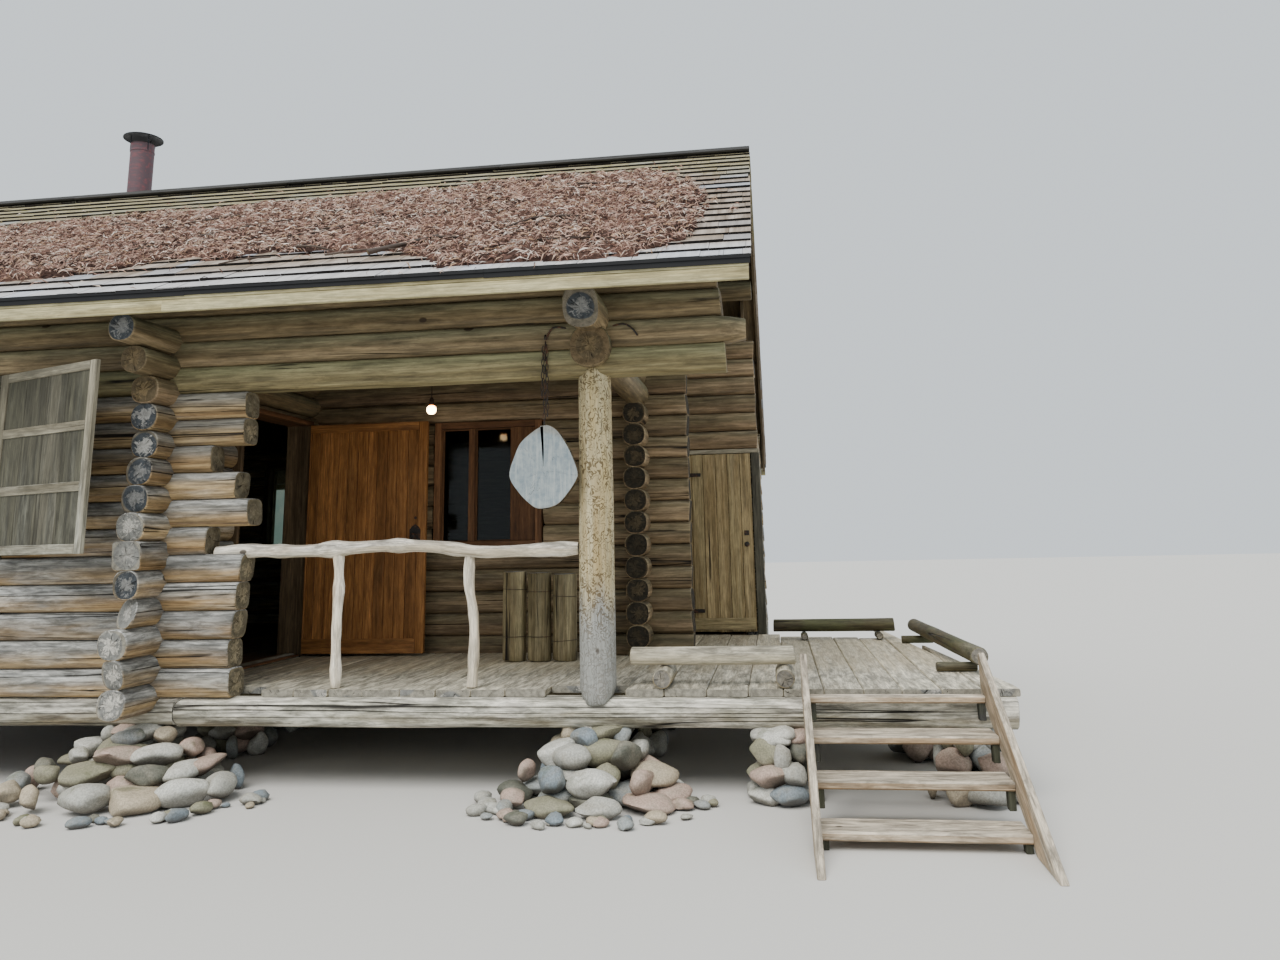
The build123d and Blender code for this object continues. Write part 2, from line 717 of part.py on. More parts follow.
def shake_layer(lip_y, top_y):
    """The shakes of one slope, which overlap in rows so that their thick butts make steps."""
    rows = max(1, round(abs(top_y - lip_y) / cos_pitch / shake_row))
    run = (top_y - lip_y) / rows
    butt_over = boards_vertical + shakes_vertical
    head_over = butt_over - shake_relief / cos_pitch
    under = boards_vertical + fit
    outline = [(lip_y, roof_under(lip_y) + under)]
    for row in range(rows):
        butt_y = lip_y + run * row
        head_y = butt_y + run
        outline += [(butt_y, roof_under(butt_y) + butt_over),
                    (head_y, roof_under(head_y) + head_over)]
    outline.append((top_y, roof_under(top_y) + under))
    return prism_x(outline, roof_left_x - shake_side_lip, roof_right_x + shake_side_lip)


add("front_shakes", shake_layer(lip_front_y, ridge_y - fit))
rear_shakes = shake_layer(lip_rear_y, ridge_y + fit)

# Flue through the rear slope
flue_x = -5330
flue_y = 2640
flue_diameter = 240
flue_rise = 1094
flue_tail = 400
flue_wall = 6
flue_bottom = roof_under(flue_y) - flue_tail
flue_top = roof_under(flue_y) + flue_rise
flue_hole = rod(flue_x, flue_y, flue_bottom, flue_top, flue_diameter / 2 + fit)
add("rear_roof_boards", rear_boards - flue_hole)
add("rear_shakes", rear_shakes - flue_hole)
flue = rod(flue_x, flue_y, flue_bottom, flue_top, flue_diameter / 2)
flue = flue - rod(flue_x, flue_y, flue_bottom - 1, flue_top + 1, flue_diameter / 2 - flue_wall)
hood_gap = 65
hood_radius = 195
hood = Pos(flue_x, flue_y, flue_top + hood_gap + 30) * Cone(hood_radius, 60, 60)
leg_ring = flue_diameter / 2 - flue_wall / 2
for turn in range(4):
    angle = math.radians(45 + 90 * turn)
    flue = flue + rod(flue_x + leg_ring * math.cos(angle), flue_y + leg_ring * math.sin(angle),
                      flue_top - 80, flue_top + hood_gap + 5, 5)
add("flue", flue + hood)

# Fascia and verge boards
front_fascia_y = front_eave_y - fascia_thickness - fit
front_fascia_top = roof_under(front_fascia_y) + boards_vertical
rear_fascia_y = rear_eave_y + fascia_thickness + fit
rear_fascia_top = roof_under(rear_fascia_y) + boards_vertical
add("fascia_boards", box(
    roof_left_x, roof_right_x, front_fascia_y, front_eave_y - fit,
    front_fascia_top - fascia_height, front_fascia_top))
add("fascia_boards", box(
    roof_left_x, roof_right_x, rear_eave_y + fit, rear_fascia_y,
    rear_fascia_top - fascia_height, rear_fascia_top))
verge_drop = 90
for x0, x1 in ((roof_left_x + fit, roof_left_x + 30), (roof_right_x - 30, roof_right_x - fit)):
    add("verge_boards", prism_x(
        [(front_eave_y + fit, front_eave_under - fit),
         (ridge_y, ridge_under - fit), (ridge_y, ridge_under - verge_drop),
         (front_eave_y + fit, front_eave_under - verge_drop)], x0, x1))
    add("verge_boards", prism_x(
        [(rear_eave_y - fit, rear_eave_under - fit),
         (ridge_y + fit, ridge_under - fit), (ridge_y + fit, ridge_under - verge_drop),
         (rear_eave_y - fit, rear_eave_under - verge_drop)], x0, x1))

# Ridge log and purlins
purlin_radius = purlin_diameter / 2
purlins = []
purlin_lines = [(ridge_y, ridge_under - purlin_radius - 25)]
for y in (ridge_y - 1080, ridge_y + 1250):
    purlin_lines.append((y, roof_under(y) - (purlin_radius + fit) / cos_pitch))
for y, z in purlin_lines:
    purlins.append(rod_x(roof_left_x + 32, roof_right_x - 32, y, z, purlin_radius))
add("purlins", *purlins)

# Board gables above the side walls
gable_low = y_middle(courses_to_beam + 2) + course / 2 + fit
gable_front_y = front_wall_y + log_radius + 2
gable_rear_y = ridge_y + (ridge_under - gable_low) / slope - 4
gable_outline = [
    (gable_front_y, gable_low), (gable_front_y, roof_under(gable_front_y) - 0.8),
    (ridge_y, ridge_under - 0.8), (gable_rear_y, gable_low)]
for name, x in (("left_gable", left_wall_x), ("right_gable", right_wall_x)):
    gable = prism_x(gable_outline, x - 16, x + 16)
    for y, z in purlin_lines:
        gable = gable - rod_x(x - 50, x + 50, y, z, purlin_radius + fit)
    gable = gable - box(x - 50, x + 50, back_wall_y - wall_face, back_wall_y + wall_face,
                        gable_low - 50, sill_top + back_wall_courses * course + 2)
    if name == "right_gable":
        gable = gable - box(x - 50, x + 50, store_front_y - wall_face,
                            store_front_y + wall_face, gable_low - 50,
                            sill_top + store_courses * course + 2)
    add(name, max(gable.solids(), key=lambda piece: piece.volume))

# Boards that close the store under the rear slope
store_gable_low = y_middle(courses_to_beam) + course / 2 + fit
store_gable_front = store_front_y + log_radius + 2
store_gable_rear = rear_wall_y - wall_face
add("store_gable", prism_x(
    [(store_gable_front, store_gable_low),
     (store_gable_front, roof_under(store_gable_front) - 0.8),
     (store_gable_rear, roof_under(store_gable_rear) - 0.8),
     (store_gable_rear, store_gable_low)], store_right_x - 16, store_right_x + 16))

# Ceiling of the porch
ceiling_low = y_middle(courses_to_beam + 2) + course / 2 + fit
add("porch_ceiling", box(doorway_wall_x - 30, right_wall_x - 20, front_wall_y + wall_face,
                         back_wall_y - wall_face, ceiling_low, ceiling_low + 24))

# Sapling rail and its two posts
rail_radius = 28
rail_z = deck_top + 906
rail_left_x = doorway_side_end - 212
rail_points = [(rail_left_x, -8, rail_z - 6), (-2150, 10, rail_z + 22), (-1500, 4, rail_z + 12),
               (-850, -10, rail_z - 8), (right_wall_x - post_top_diameter / 2, 0, rail_z + 4)]
rail_path = FilletPolyline(*rail_points, radius=900)


def bent_pole(path, radius):
    """A round pole that follows a path."""
    return sweep(Plane(path @ 0, z_dir=path % 0) * Circle(radius).face(), path=path)


add("porch_rail", bent_pole(rail_path, rail_radius) - post_trunk(fit))
rail_room = bent_pole(rail_path, rail_radius + fit)
deck_room = prism_z(deck_outline, 0, deck_top + fit)
sapling_radius = 24
for foot_x, foot_y, lean in ((-1734, 30, 14), (-827, 45, -38)):
    sapling = FilletPolyline(
        (foot_x, foot_y, deck_top - 5), (foot_x - lean * 0.4, foot_y - 4, deck_top + 320),
        (foot_x + lean * 0.5, foot_y - 18, deck_top + 640),
        (foot_x + lean * 0.2, 0, rail_z), radius=500)
    pole = bent_pole(sapling, sapling_radius) - deck_room - rail_room
    add("porch_rail", max(pole.solids(), key=lambda piece: piece.volume))

# Stairs
string_top_y = deck_front_y - fit
tread_back_y = front_wall_y - log_radius - fit
top_tread_z = deck_top - 18
top_nose_y = -176
stair_slope = stair_rise / stair_going


def nosing(y):
    """Height of the line through the tread fronts."""
    return top_tread_z + (y - top_nose_y) * stair_slope


def string_line(height):
    """Where a line parallel to the nosing, this much higher, meets the ground."""
    return top_nose_y - (top_tread_z + height) / stair_slope


stair_right_x = stair_left_x + stair_width
cleat_width = 38
cleat_height = 95
cleat_inset = 14
cleat_depth = 60
for outer_x, inward in ((stair_left_x - fit, 1), (stair_right_x + fit, -1)):
    x0, x1 = sorted((outer_x, outer_x - inward * string_thickness))
    string = prism_x([(string_line(string_above), 0), (string_line(-string_below), 0),
                      (string_top_y, nosing(string_top_y) - string_below),
                      (string_top_y, nosing(string_top_y) + string_above)], x0, x1)
    x0, x1 = sorted((outer_x, outer_x + inward * cleat_width))
    for number in range(stair_treads):
        tread_nose_y = top_nose_y - number * stair_going
        under = top_tread_z - number * stair_rise - tread_thickness - fit
        cleat_y = tread_nose_y + cleat_inset
        string = string + box(x0, x1, cleat_y, cleat_y + cleat_depth,
                              max(0, under - cleat_height), under)
    add("stair_strings", string)
for number in range(stair_treads):
    nose_y = top_nose_y - number * stair_going
    top_z = top_tread_z - number * stair_rise
    back_y = min(nose_y + tread_depth, tread_back_y)
    add("stair_treads", box(stair_left_x, stair_right_x, nose_y, back_y,
                            top_z - tread_thickness, top_z))

# Kerb logs that lie on short cross logs at the edges of the deck
kerb_radius = 57
cross_radius = 60
small_cross_radius = 32
kerb_y = 120
kerb_left_x = 185
kerb_right_x = stair_left_x - 60
cross_front_y = deck_front_y - 10
cross_length = 390
back_kerb_y = deck_back_right_y - 60
side_kerb_x = deck_right_back_x + 40
side_kerb_length = 2350
kerb = [rod_x(kerb_left_x, kerb_right_x, kerb_y, deck_top + 2 * cross_radius + kerb_radius,
              kerb_radius)]
for x in (kerb_left_x + 220, kerb_right_x - 73):
    kerb.append(rod_y(x, cross_front_y, cross_front_y + cross_length, deck_top + cross_radius,
                      cross_radius))
back_z = deck_top + 2 * small_cross_radius + kerb_radius
back_kerb_right_x = deck_right_back_x - 100
back_kerb_left_x = back_kerb_right_x - 970
kerb.append(rod_x(back_kerb_left_x, back_kerb_right_x, back_kerb_y, back_z, kerb_radius))
for x in (back_kerb_left_x + 170, back_kerb_right_x - 150):
    kerb.append(rod_y(x, back_kerb_y - 120, back_kerb_y + 80, deck_top + small_cross_radius,
                      small_cross_radius))
side_kerb_back_y = back_kerb_y - 70
side_kerb_front_y = side_kerb_back_y - side_kerb_length
kerb.append(rod_y(side_kerb_x, side_kerb_front_y, side_kerb_back_y, back_z, kerb_radius))
for y in (side_kerb_front_y + 220, side_kerb_back_y - 330):
    kerb.append(rod_x(side_kerb_x - 150, side_kerb_x + 60, y, deck_top + small_cross_radius,
                      small_cross_radius))
for piece in kerb:
    add("kerb_logs", Pos(0, 0, fit) * piece)

# Three split logs bound upright against the back of the porch, their round side to the front
bound_y = 1330
bound_radius = 96
bound_back = 34
for number, x in enumerate((-921, -720, -519)):
    bound_top = deck_top + 682 - 12 * number
    half_round = rod(x, bound_y + bound_radius, deck_top + fit, bound_top, bound_radius)
    half_round = half_round - box(x - 200, x + 200, bound_y + bound_radius,
                                  bound_y + 3 * bound_radius, deck_top, bound_top + 1)
    add("bound_logs", half_round + box(x - bound_radius, x + bound_radius, bound_y + bound_radius,
                                       bound_y + bound_radius + bound_back,
                                       deck_top + fit, bound_top))

# Hanging slice of wood with its chain
sign_x = -306
sign_y = -152
sign_z = 1975
slice_thickness = 56
slice_rim = [(0, 268), (-135, 178), (-189, 81), (-225, -53), (-162, -162), (-81, -242),
             (-23, -268), (81, -249), (148, -189), (215, -94), (226, -39), (189, 67),
             (141, 162), (81, 242)]
slice_face = make_face(Spline([Vector(across, up) for across, up in slice_rim], periodic=True))
sign = Pos(sign_x, sign_y + slice_thickness / 2, sign_z) * Rot(90, 0, 0) * extrude(
    slice_face, slice_thickness)
chain_top = x_middle(courses_to_beam + 1)
chain = rod(sign_x, sign_y, sign_z + 230, chain_top, 9)
spike = rod_y(sign_x, sign_y - 14, front_wall_y - log_face - fit, chain_top, 9)
add("hanging_slice", sign + chain)
add("hanging_slice", spike - rod(sign_x, sign_y, sign_z, chain_top + 20, 9 + fit))

# Lamp in the porch
lamp_x = -1500
lamp_y = 1055
lamp_drop = 471
bulb_radius = 38
holder_radius = 22
bulb_z = ceiling_low - lamp_drop
holder_low = bulb_z + bulb_radius - 8
holder_high = holder_low + 70
flex_radius = 4
lamp = rod(lamp_x, lamp_y, holder_high - 20, ceiling_low - fit, flex_radius)
lamp = lamp + rod(lamp_x, lamp_y, holder_low, holder_high, holder_radius)
lamp = lamp + Pos(lamp_x, lamp_y, bulb_z) * Sphere(bulb_radius)
add("porch_lamp", lamp)

os.makedirs("parts", exist_ok=True)
for name, solids in parts.items():
    pieces = [piece for solid in solids for piece in solid.solids()]
    whole = Compound(pieces) if len(pieces) > 1 else pieces[0]
    whole.label = name
    export_step(whole, f"parts/{name}.step")
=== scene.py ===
# %% [markdown]
# A log cabin with a recessed porch.
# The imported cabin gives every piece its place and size. Each wall of plain solids is dressed here
# as what it is: peeled logs with knots and drying checks, sawn boards, split shakes, river stones.
# All coordinates are metres in the cabin's own frame: X to the right, Y to the back, Z up.

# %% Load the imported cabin
import json
import math
import random

import bmesh
import bpy
import numpy as np
from mathutils import Matrix, Vector, noise

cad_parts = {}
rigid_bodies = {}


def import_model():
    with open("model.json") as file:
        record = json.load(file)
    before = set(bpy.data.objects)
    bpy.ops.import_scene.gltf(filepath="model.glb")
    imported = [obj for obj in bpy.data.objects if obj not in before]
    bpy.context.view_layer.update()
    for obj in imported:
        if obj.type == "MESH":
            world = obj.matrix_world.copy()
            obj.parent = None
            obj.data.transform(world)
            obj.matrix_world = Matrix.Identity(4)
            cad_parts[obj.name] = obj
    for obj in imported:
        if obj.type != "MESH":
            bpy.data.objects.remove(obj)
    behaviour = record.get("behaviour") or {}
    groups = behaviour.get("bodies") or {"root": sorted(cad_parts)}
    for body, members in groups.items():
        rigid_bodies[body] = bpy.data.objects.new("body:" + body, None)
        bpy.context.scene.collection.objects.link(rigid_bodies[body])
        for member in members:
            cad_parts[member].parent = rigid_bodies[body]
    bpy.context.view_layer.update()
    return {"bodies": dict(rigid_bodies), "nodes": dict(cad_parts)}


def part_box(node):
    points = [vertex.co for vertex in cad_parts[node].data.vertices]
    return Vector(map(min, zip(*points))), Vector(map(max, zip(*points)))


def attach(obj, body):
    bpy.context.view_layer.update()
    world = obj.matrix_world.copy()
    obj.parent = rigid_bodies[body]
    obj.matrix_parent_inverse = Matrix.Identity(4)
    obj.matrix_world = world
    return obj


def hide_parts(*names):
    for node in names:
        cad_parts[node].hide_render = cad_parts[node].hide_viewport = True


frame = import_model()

nodes = frame["nodes"]


def box(name):
    """The low and the high corner of a node."""
    return [np.array(corner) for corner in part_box(name)]


# %% [markdown]
# The camera stands in front of the stairs, a little above a person's chest, and looks up at the
# porch. Its turn, tilt and roll come from the photograph's straight lines. The frame is shifted
# down from the lens axis, so the stones under the cabin show as well as the roof.

# %% Camera at the photograph's angle
camera_place = Vector((1.1264, -6.160, 1.490))
camera_yaw = 0.1325
camera_pitch = 0.1964
camera_roll = -0.0214
camera_lens = 27.03
camera_shift = -0.1005


def camera_axes(yaw, pitch, roll):
    """Right, up and forward of a camera that is turned left, tilted up and rolled."""
    forward = Vector((-math.sin(yaw) * math.cos(pitch), math.cos(yaw) * math.cos(pitch),
        math.sin(pitch)))
    level = Vector((math.cos(yaw), math.sin(yaw), 0.0))
    upright = level.cross(forward)
    right = math.cos(roll) * level + math.sin(roll) * upright
    up = -math.sin(roll) * level + math.cos(roll) * upright
    return right, up, forward


right, up, forward = camera_axes(camera_yaw, camera_pitch, camera_roll)
camera_data = bpy.data.cameras.new("camera")
camera_data.lens = camera_lens
camera_data.sensor_width = 36.0
camera_data.shift_y = camera_shift
camera = bpy.data.objects.new("camera", camera_data)
camera.matrix_world = Matrix.Translation(camera_place) @ Matrix((right, up,
    -forward)).transposed().to_4x4()
bpy.context.scene.collection.objects.link(camera)
bpy.context.scene.camera = camera
print("camera at", tuple(round(v, 3) for v in camera_place))

# %% [markdown]
# A pale floor and a pale sky keep the light soft, as under thick cloud. One broad lamp from the
# front left gives the logs a lit and a shaded side, and leaves the porch in the shade of its roof.

# %% Floor and light
floor_mesh = bpy.data.meshes.new("floor")
floor_half = 60.0
floor_mesh.from_pydata([(-floor_half, -floor_half, 0), (floor_half, -floor_half, 0),
    (floor_half, floor_half, 0), (-floor_half, floor_half, 0)], [], [(0, 1, 2, 3)])
floor = bpy.data.objects.new("floor", floor_mesh)
bpy.context.scene.collection.objects.link(floor)
floor_paint = bpy.data.materials.new("floor_paint")
floor_paint.use_nodes = True
floor_shader = floor_paint.node_tree.nodes["Principled BSDF"]
floor_shader.inputs["Base Color"].default_value = (0.62, 0.61, 0.58, 1)
floor_shader.inputs["Roughness"].default_value = 0.9
floor_mesh.materials.append(floor_paint)

world = bpy.data.worlds.new("pale_sky")
bpy.context.scene.world = world
world.use_nodes = True
world.node_tree.nodes["Background"].inputs["Color"].default_value = (0.88, 0.95, 1.0, 1)
world.node_tree.nodes["Background"].inputs["Strength"].default_value = 1.05


def soft_sun(name, strength, spread, direction, colour):
    """A wide sun, so that its shadows have soft edges."""
    data = bpy.data.lights.new(name, "SUN")
    data.energy = strength
    data.angle = spread
    data.color = colour
    sun = bpy.data.objects.new(name, data)
    sun.rotation_euler = Vector(direction).to_track_quat("-Z", "Y").to_euler()
    bpy.context.scene.collection.objects.link(sun)
    return sun


soft_sun("broad_light", 3.4, 0.8, (0.22, 0.68, -1.04), (1.0, 0.97, 0.92))
print("floor and light are set")

# %% [markdown]
# Every wooden piece is a sweep: a section carried along a line, with a cap at each end. A log
# has a rounded section, a board a rectangle with worn corners. Each point also stores where it
# lies in its own tree, as length along the pith, and distance across and up from the pith.
# Wood finishes read that, so fibres run along the piece and rings show on its ends, whatever
# way the piece is laid in the cabin.

# %% A builder that gathers swept pieces into one mesh
SIDE = 0
END = 1


class Stock:
    """Gathers the wood of one node: points, faces, place in the tree, tone and finish."""

    def __init__(self):
        self.points = []
        self.faces = []
        self.grain = []
        self.tone = []
        self.finish = []
        self.count = 0

    def add(self, points, faces, grain, tone, finish=None):
        """Takes one piece. Faces count from 0 in their own piece."""
        self.points.append(np.asarray(points, float))
        self.grain.append(np.asarray(grain, float))
        self.tone.append(np.full(len(points), tone))
        self.faces += [tuple(i + self.count for i in face) for face in faces]
        self.finish += finish or [SIDE] * len(faces)
        self.count += len(points)

    def object(self, name, materials, sharp=38):
        """Makes the mesh object."""
        mesh = bpy.data.meshes.new(name)
        mesh.from_pydata(np.concatenate(self.points).tolist(), [], self.faces)
        grain = mesh.attributes.new("grain", "FLOAT_VECTOR", "POINT")
        grain.data.foreach_set("vector", np.concatenate(self.grain).astype(np.float32).ravel())
        tone = mesh.attributes.new("tone", "FLOAT", "POINT")
        tone.data.foreach_set("value", np.concatenate(self.tone).astype(np.float32))
        for material in materials:
            mesh.materials.append(material)
        mesh.polygons.foreach_set("material_index", self.finish)
        mesh.shade_smooth()
        mesh.set_sharp_from_angle(angle=math.radians(sharp))
        obj = bpy.data.objects.new(name, mesh)
        bpy.context.scene.collection.objects.link(obj)
        return obj


def log_outline(across, high, squareness, around):
    """A rounded section. squareness 2 is an ellipse, more has flatter sides."""
    angles = np.arange(around) * 2 * math.pi / around
    cos, sin = np.cos(angles), np.sin(angles)
    power = 2 / squareness
    return np.stack([across * np.sign(cos) * np.abs(cos) ** power, high * np.sign(sin)
        * np.abs(sin) ** power], 1)


def board_outline(across, high, worn):
    """A rectangle with its four corners worn off."""
    a, h = across / 2, high / 2
    w = min(worn, a * 0.6, h * 0.6)
    return np.array([(a, -h + w), (a, h - w), (a - w, h), (-a + w, h), (-a, h - w), (-a, -h + w),
        (-a + w, -h), (a - w, -h)])


def ring_faces(count, around, closed=False):
    """Faces between rings of points that follow each other."""
    faces = []
    for i in range(count if closed else count - 1):
        for j in range(around):
            k, n = (j + 1) % around, (i + 1) % count
            faces.append((i * around + j, i * around + k, n * around + k, n * around + j))
    return faces


def sweep(stock, line, side, up, outline, dice, tone=None, scale=None, rough=0.0, swell=0.0,
        cuts=((0, 0), (0, 0)), chamfer=0.006, pith=(0, 0), end=END):
    """Carries an outline along a line of points. side and up are unit vectors for each point,
    or one for all. cuts tilt the end faces, and end is their finish. rough and swell are
    heights of unevenness."""
    line = np.asarray(line, float)
    number = len(line)
    sides = np.broadcast_to(np.asarray(side, float), (number, 3))
    ups = np.broadcast_to(np.asarray(up, float), (number, 3))
    steps = np.linalg.norm(np.diff(line, axis=0), axis=1)
    along = np.concatenate([[0], np.cumsum(steps)])
    scales = np.ones(number) if scale is None else np.asarray(scale, float)
    tone = dice.random() if tone is None else tone
    offset = dice.uniform(0, 40)
    around = len(outline)
    angles = np.arctan2(outline[:, 1], outline[:, 0])
    phase = [dice.uniform(0, 6.28) for _ in range(6)]

    def laid(section, i):
        return line[i] + section[:, :1] * sides[i] + section[:, 1:] * ups[i]

    def in_tree(section, i):
        return np.column_stack([np.full(len(section), along[i] + offset), section + pith])

    rings = []
    grain = []
    for i in range(number):
        far = 1 + swell * (math.sin(along[i] * 1.7 + phase[0]) + 0.6
            * math.sin(along[i] * 4.1 + phase[1]))
        bump = 1 + rough * (np.sin(angles * 3 + phase[2] + along[i] * 2.3) + 0.7
            * np.sin(angles * 5 + phase[3] - along[i] * 5.0) + 0.8
            * np.sin(angles * 2 + phase[4] + along[i] * 9.0))
        section = outline * (scales[i] * far * bump)[:, None]
        rings.append(laid(section, i))
        grain.append(in_tree(section, i))
    middles = []
    middle_grain = []
    for which, first, second in ((0, 0, 1), (1, -1, -2)):
        direction = line[first] - line[second]
        direction = direction / np.linalg.norm(direction)
        section = outline * scales[first]
        tilt = section @ np.asarray(cuts[which], float)
        inset = section * (1 - chamfer / max(np.abs(outline).max(), 1e-6))
        rings[-which] = rings[-which] + direction * (tilt - chamfer)[:, None]
        grain[-which][:, 0] += (tilt - chamfer) * (1 if which else -1)
        cap = laid(inset, first) + direction * tilt[:, None]
        rings.insert(len(rings) * which, cap)
        grain.insert(len(grain) * which, in_tree(inset, first))
        middles.append(line[first])
        middle_grain.append((along[first] + offset, *pith))
    points = np.concatenate(rings + [middles])
    grains = np.concatenate(grain + [middle_grain])
    turn = np.linalg.det(np.stack([line[1] - line[0], sides[0], ups[0]])) > 0
    total = len(rings)
    faces = [face if turn else face[::-1] for face in ring_faces(total, around)]
    finish = [SIDE] * len(faces)
    for which, ring, middle in ((0, 0, total * around), (1, total - 1, total * around + 1)):
        for j in range(around):
            k = (j + 1) % around
            face = (ring * around + j, middle, ring * around + k)
            faces.append(face if turn == (which == 0) else face[::-1])
            finish.append(end)
    stock.add(points, faces, grains, tone, finish)


def straight(start, end, step):
    """Points at even steps from start to end."""
    start, end = np.asarray(start, float), np.asarray(end, float)
    count = max(2, int(round(np.linalg.norm(end - start) / step)) + 1)
    return start + (end - start) * np.linspace(0, 1, count)[:, None]


def curved(points, step):
    """A smooth line through given points, at about even steps."""
    points = [np.asarray(p, float) for p in points]
    points = [2 * points[0] - points[1]] + points + [2 * points[-1] - points[-2]]
    line = []
    for i in range(1, len(points) - 2):
        a, b, c, d = points[i - 1:i + 3]
        count = max(2, int(np.linalg.norm(c - b) / step))
        for t in np.arange(count) / count:
            line.append(0.5 * (2 * b + (c - a) * t + (2 * a - 5 * b + 4 * c - d) * t ** 2
                + (3 * b - a - 3 * c + d) * t ** 3))
    line.append(points[-2])
    return np.array(line)


print("sweeping tools are ready")

# %% [markdown]
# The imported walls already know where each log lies. Every log is a separate shell of its node's
# mesh, so its box gives its axis, its height and both of its ends. That keeps the dressed logs
# exactly where the construction has them.

# %% Read single pieces out of a node
def shells(node):
    """The boxes of a node's separate solids, as (low corner, high corner) arrays."""
    mesh = nodes[node].data
    places = np.empty(len(mesh.vertices) * 3, np.float32)
    mesh.vertices.foreach_get("co", places)
    places = places.reshape(-1, 3)
    keys = {}
    same = np.array([keys.setdefault(tuple(k), len(keys)) for k in np.round(places
        * 20000).astype(int).tolist()])
    parent = list(range(len(keys)))

    def root(i):
        while parent[i] != i:
            parent[i] = parent[parent[i]]
            i = parent[i]
        return i

    for polygon in mesh.polygons:
        first = root(same[polygon.vertices[0]])
        for v in polygon.vertices[1:]:
            other = root(same[v])
            if other != first:
                parent[other] = first
    groups = {}
    for i, key in enumerate(same):
        groups.setdefault(root(key), []).append(i)
    boxes = [(places[g].min(0).astype(float), places[g].max(0).astype(float))
        for g in groups.values()]
    return sorted(boxes, key=lambda b: (round(b[0][2], 3), round(b[0][0], 3), b[0][1]))


course = 0.182
every = {name: shells(name) for name in nodes}
print("separate pieces", sum(len(boxes) for boxes in every.values()))


# %% [markdown]
# All the wood in this cabin shares a few effects: fibres, yearly rings, knots, drying checks,
# weather-grey on what faces the sky, stains where rain runs, and moss near the ground. Each is a
# node group with named sockets, built once. A material places the groups with its own values,
# so a log, a board and a door differ without a second copy of any effect.

# %% Short ways to make nodes
def colour(*display):
    """The linear colour of display values from 0 to 255."""
    shares = [v / 255 for v in display]
    return [v / 12.92 if v <= 0.04045 else ((v + 0.055) / 1.055) ** 2.4 for v in shares] + [1.0]


class Sheet:
    """Makes and links the nodes of one tree with few words."""

    def __init__(self, tree):
        self.tree = tree

    def put(self, kind, **settings):
        node = self.tree.nodes.new(kind)
        for name, value in settings.items():
            setattr(node, name, value)
        return node

    def join(self, value, socket):
        """Links a socket, or writes a plain value."""
        if hasattr(value, "is_linked"):
            self.tree.links.new(value, socket)
        else:
            socket.default_value = value

    def feed(self, node, *values):
        """Gives a node its inputs in their order."""
        for value, socket in zip(values, node.inputs):
            self.join(value, socket)

    def set(self, node, **values):
        """Gives a node its inputs by name."""
        for name, value in values.items():
            self.join(value, node.inputs[name])

    def math(self, operation, *values, clamp=False):
        node = self.put("ShaderNodeMath", operation=operation, use_clamp=clamp)
        self.feed(node, *values)
        return node.outputs[0]

    def times(self, first, second):
        return self.math("MULTIPLY", first, second)

    def plus(self, first, second):
        return self.math("ADD", first, second)

    def minus(self, first, second):
        return self.math("SUBTRACT", first, second)

    def vector(self, operation, *values):
        node = self.put("ShaderNodeVectorMath", operation=operation)
        self.feed(node, *values)
        return node.outputs["Value" if operation in ("LENGTH", "DOT_PRODUCT") else "Vector"]

    def parts(self, vector):
        node = self.put("ShaderNodeSeparateXYZ")
        self.join(vector, node.inputs[0])
        return node.outputs

    def whole(self, x, y, z):
        node = self.put("ShaderNodeCombineXYZ")
        self.feed(node, x, y, z)
        return node.outputs[0]

    def mix(self, share, first, second, blend="MIX"):
        """Mixes two colours, each a socket or three display values."""
        node = self.put("ShaderNodeMix", data_type="RGBA", blend_type=blend, clamp_factor=True)
        self.join(share, node.inputs["Factor"])
        for value, socket in ((first, node.inputs[6]), (second, node.inputs[7])):
            self.join(value if hasattr(value, "is_linked") else colour(*value), socket)
        return node.outputs[2]

    def shaded(self, body, shade):
        """Darkens or lightens a colour by a number around 1."""
        return self.mix(1.0, body, self.whole(shade, shade, shade), "MULTIPLY")

    def place(self):
        """Where the surface lies in the cabin."""
        return self.put("ShaderNodeTexCoord").outputs["Object"]

    def noise(self, vector, scale=1.0, detail=3.0, roughness=0.5, distortion=0.0):
        """Cloudy noise. A scale of three numbers stretches it along each axis."""
        if isinstance(scale, tuple):
            vector, scale = self.vector("MULTIPLY", vector, scale), 1.0
        node = self.put("ShaderNodeTexNoise")
        self.set(node, Vector=vector, Scale=scale, Detail=detail, Roughness=roughness,
            Distortion=distortion)
        return node.outputs["Fac"]

    def ramp(self, value, shades, interpolation="LINEAR"):
        """Turns a value into one of several (position, display colour) pairs."""
        node = self.put("ShaderNodeValToRGB")
        self.join(value, node.inputs[0])
        ramp = node.color_ramp
        ramp.interpolation = interpolation
        while len(ramp.elements) < len(shades):
            ramp.elements.new(0.5)
        for element, (position, tint) in zip(ramp.elements, shades):
            element.position = position
            element.color = colour(*tint)
        return node.outputs[0]

    def cells(self, vector, scale=1.0, feature="F1", randomness=1.0):
        node = self.put("ShaderNodeTexVoronoi", feature=feature)
        self.set(node, Vector=vector, Scale=scale, Randomness=randomness)
        return node.outputs

    def between(self, value, low, high, first=0.0, last=1.0):
        """Eases from first to last while the value goes from low to high."""
        node = self.put("ShaderNodeMapRange", interpolation_type="SMOOTHSTEP")
        self.feed(node, value, low, high, first, last)
        return node.outputs[0]

    def attribute(self, name, output="Fac"):
        return self.put("ShaderNodeAttribute", attribute_name=name).outputs[output]

    def group(self, tree, **values):
        node = self.put("ShaderNodeGroup", node_tree=tree)
        self.set(node, **values)
        return node.outputs


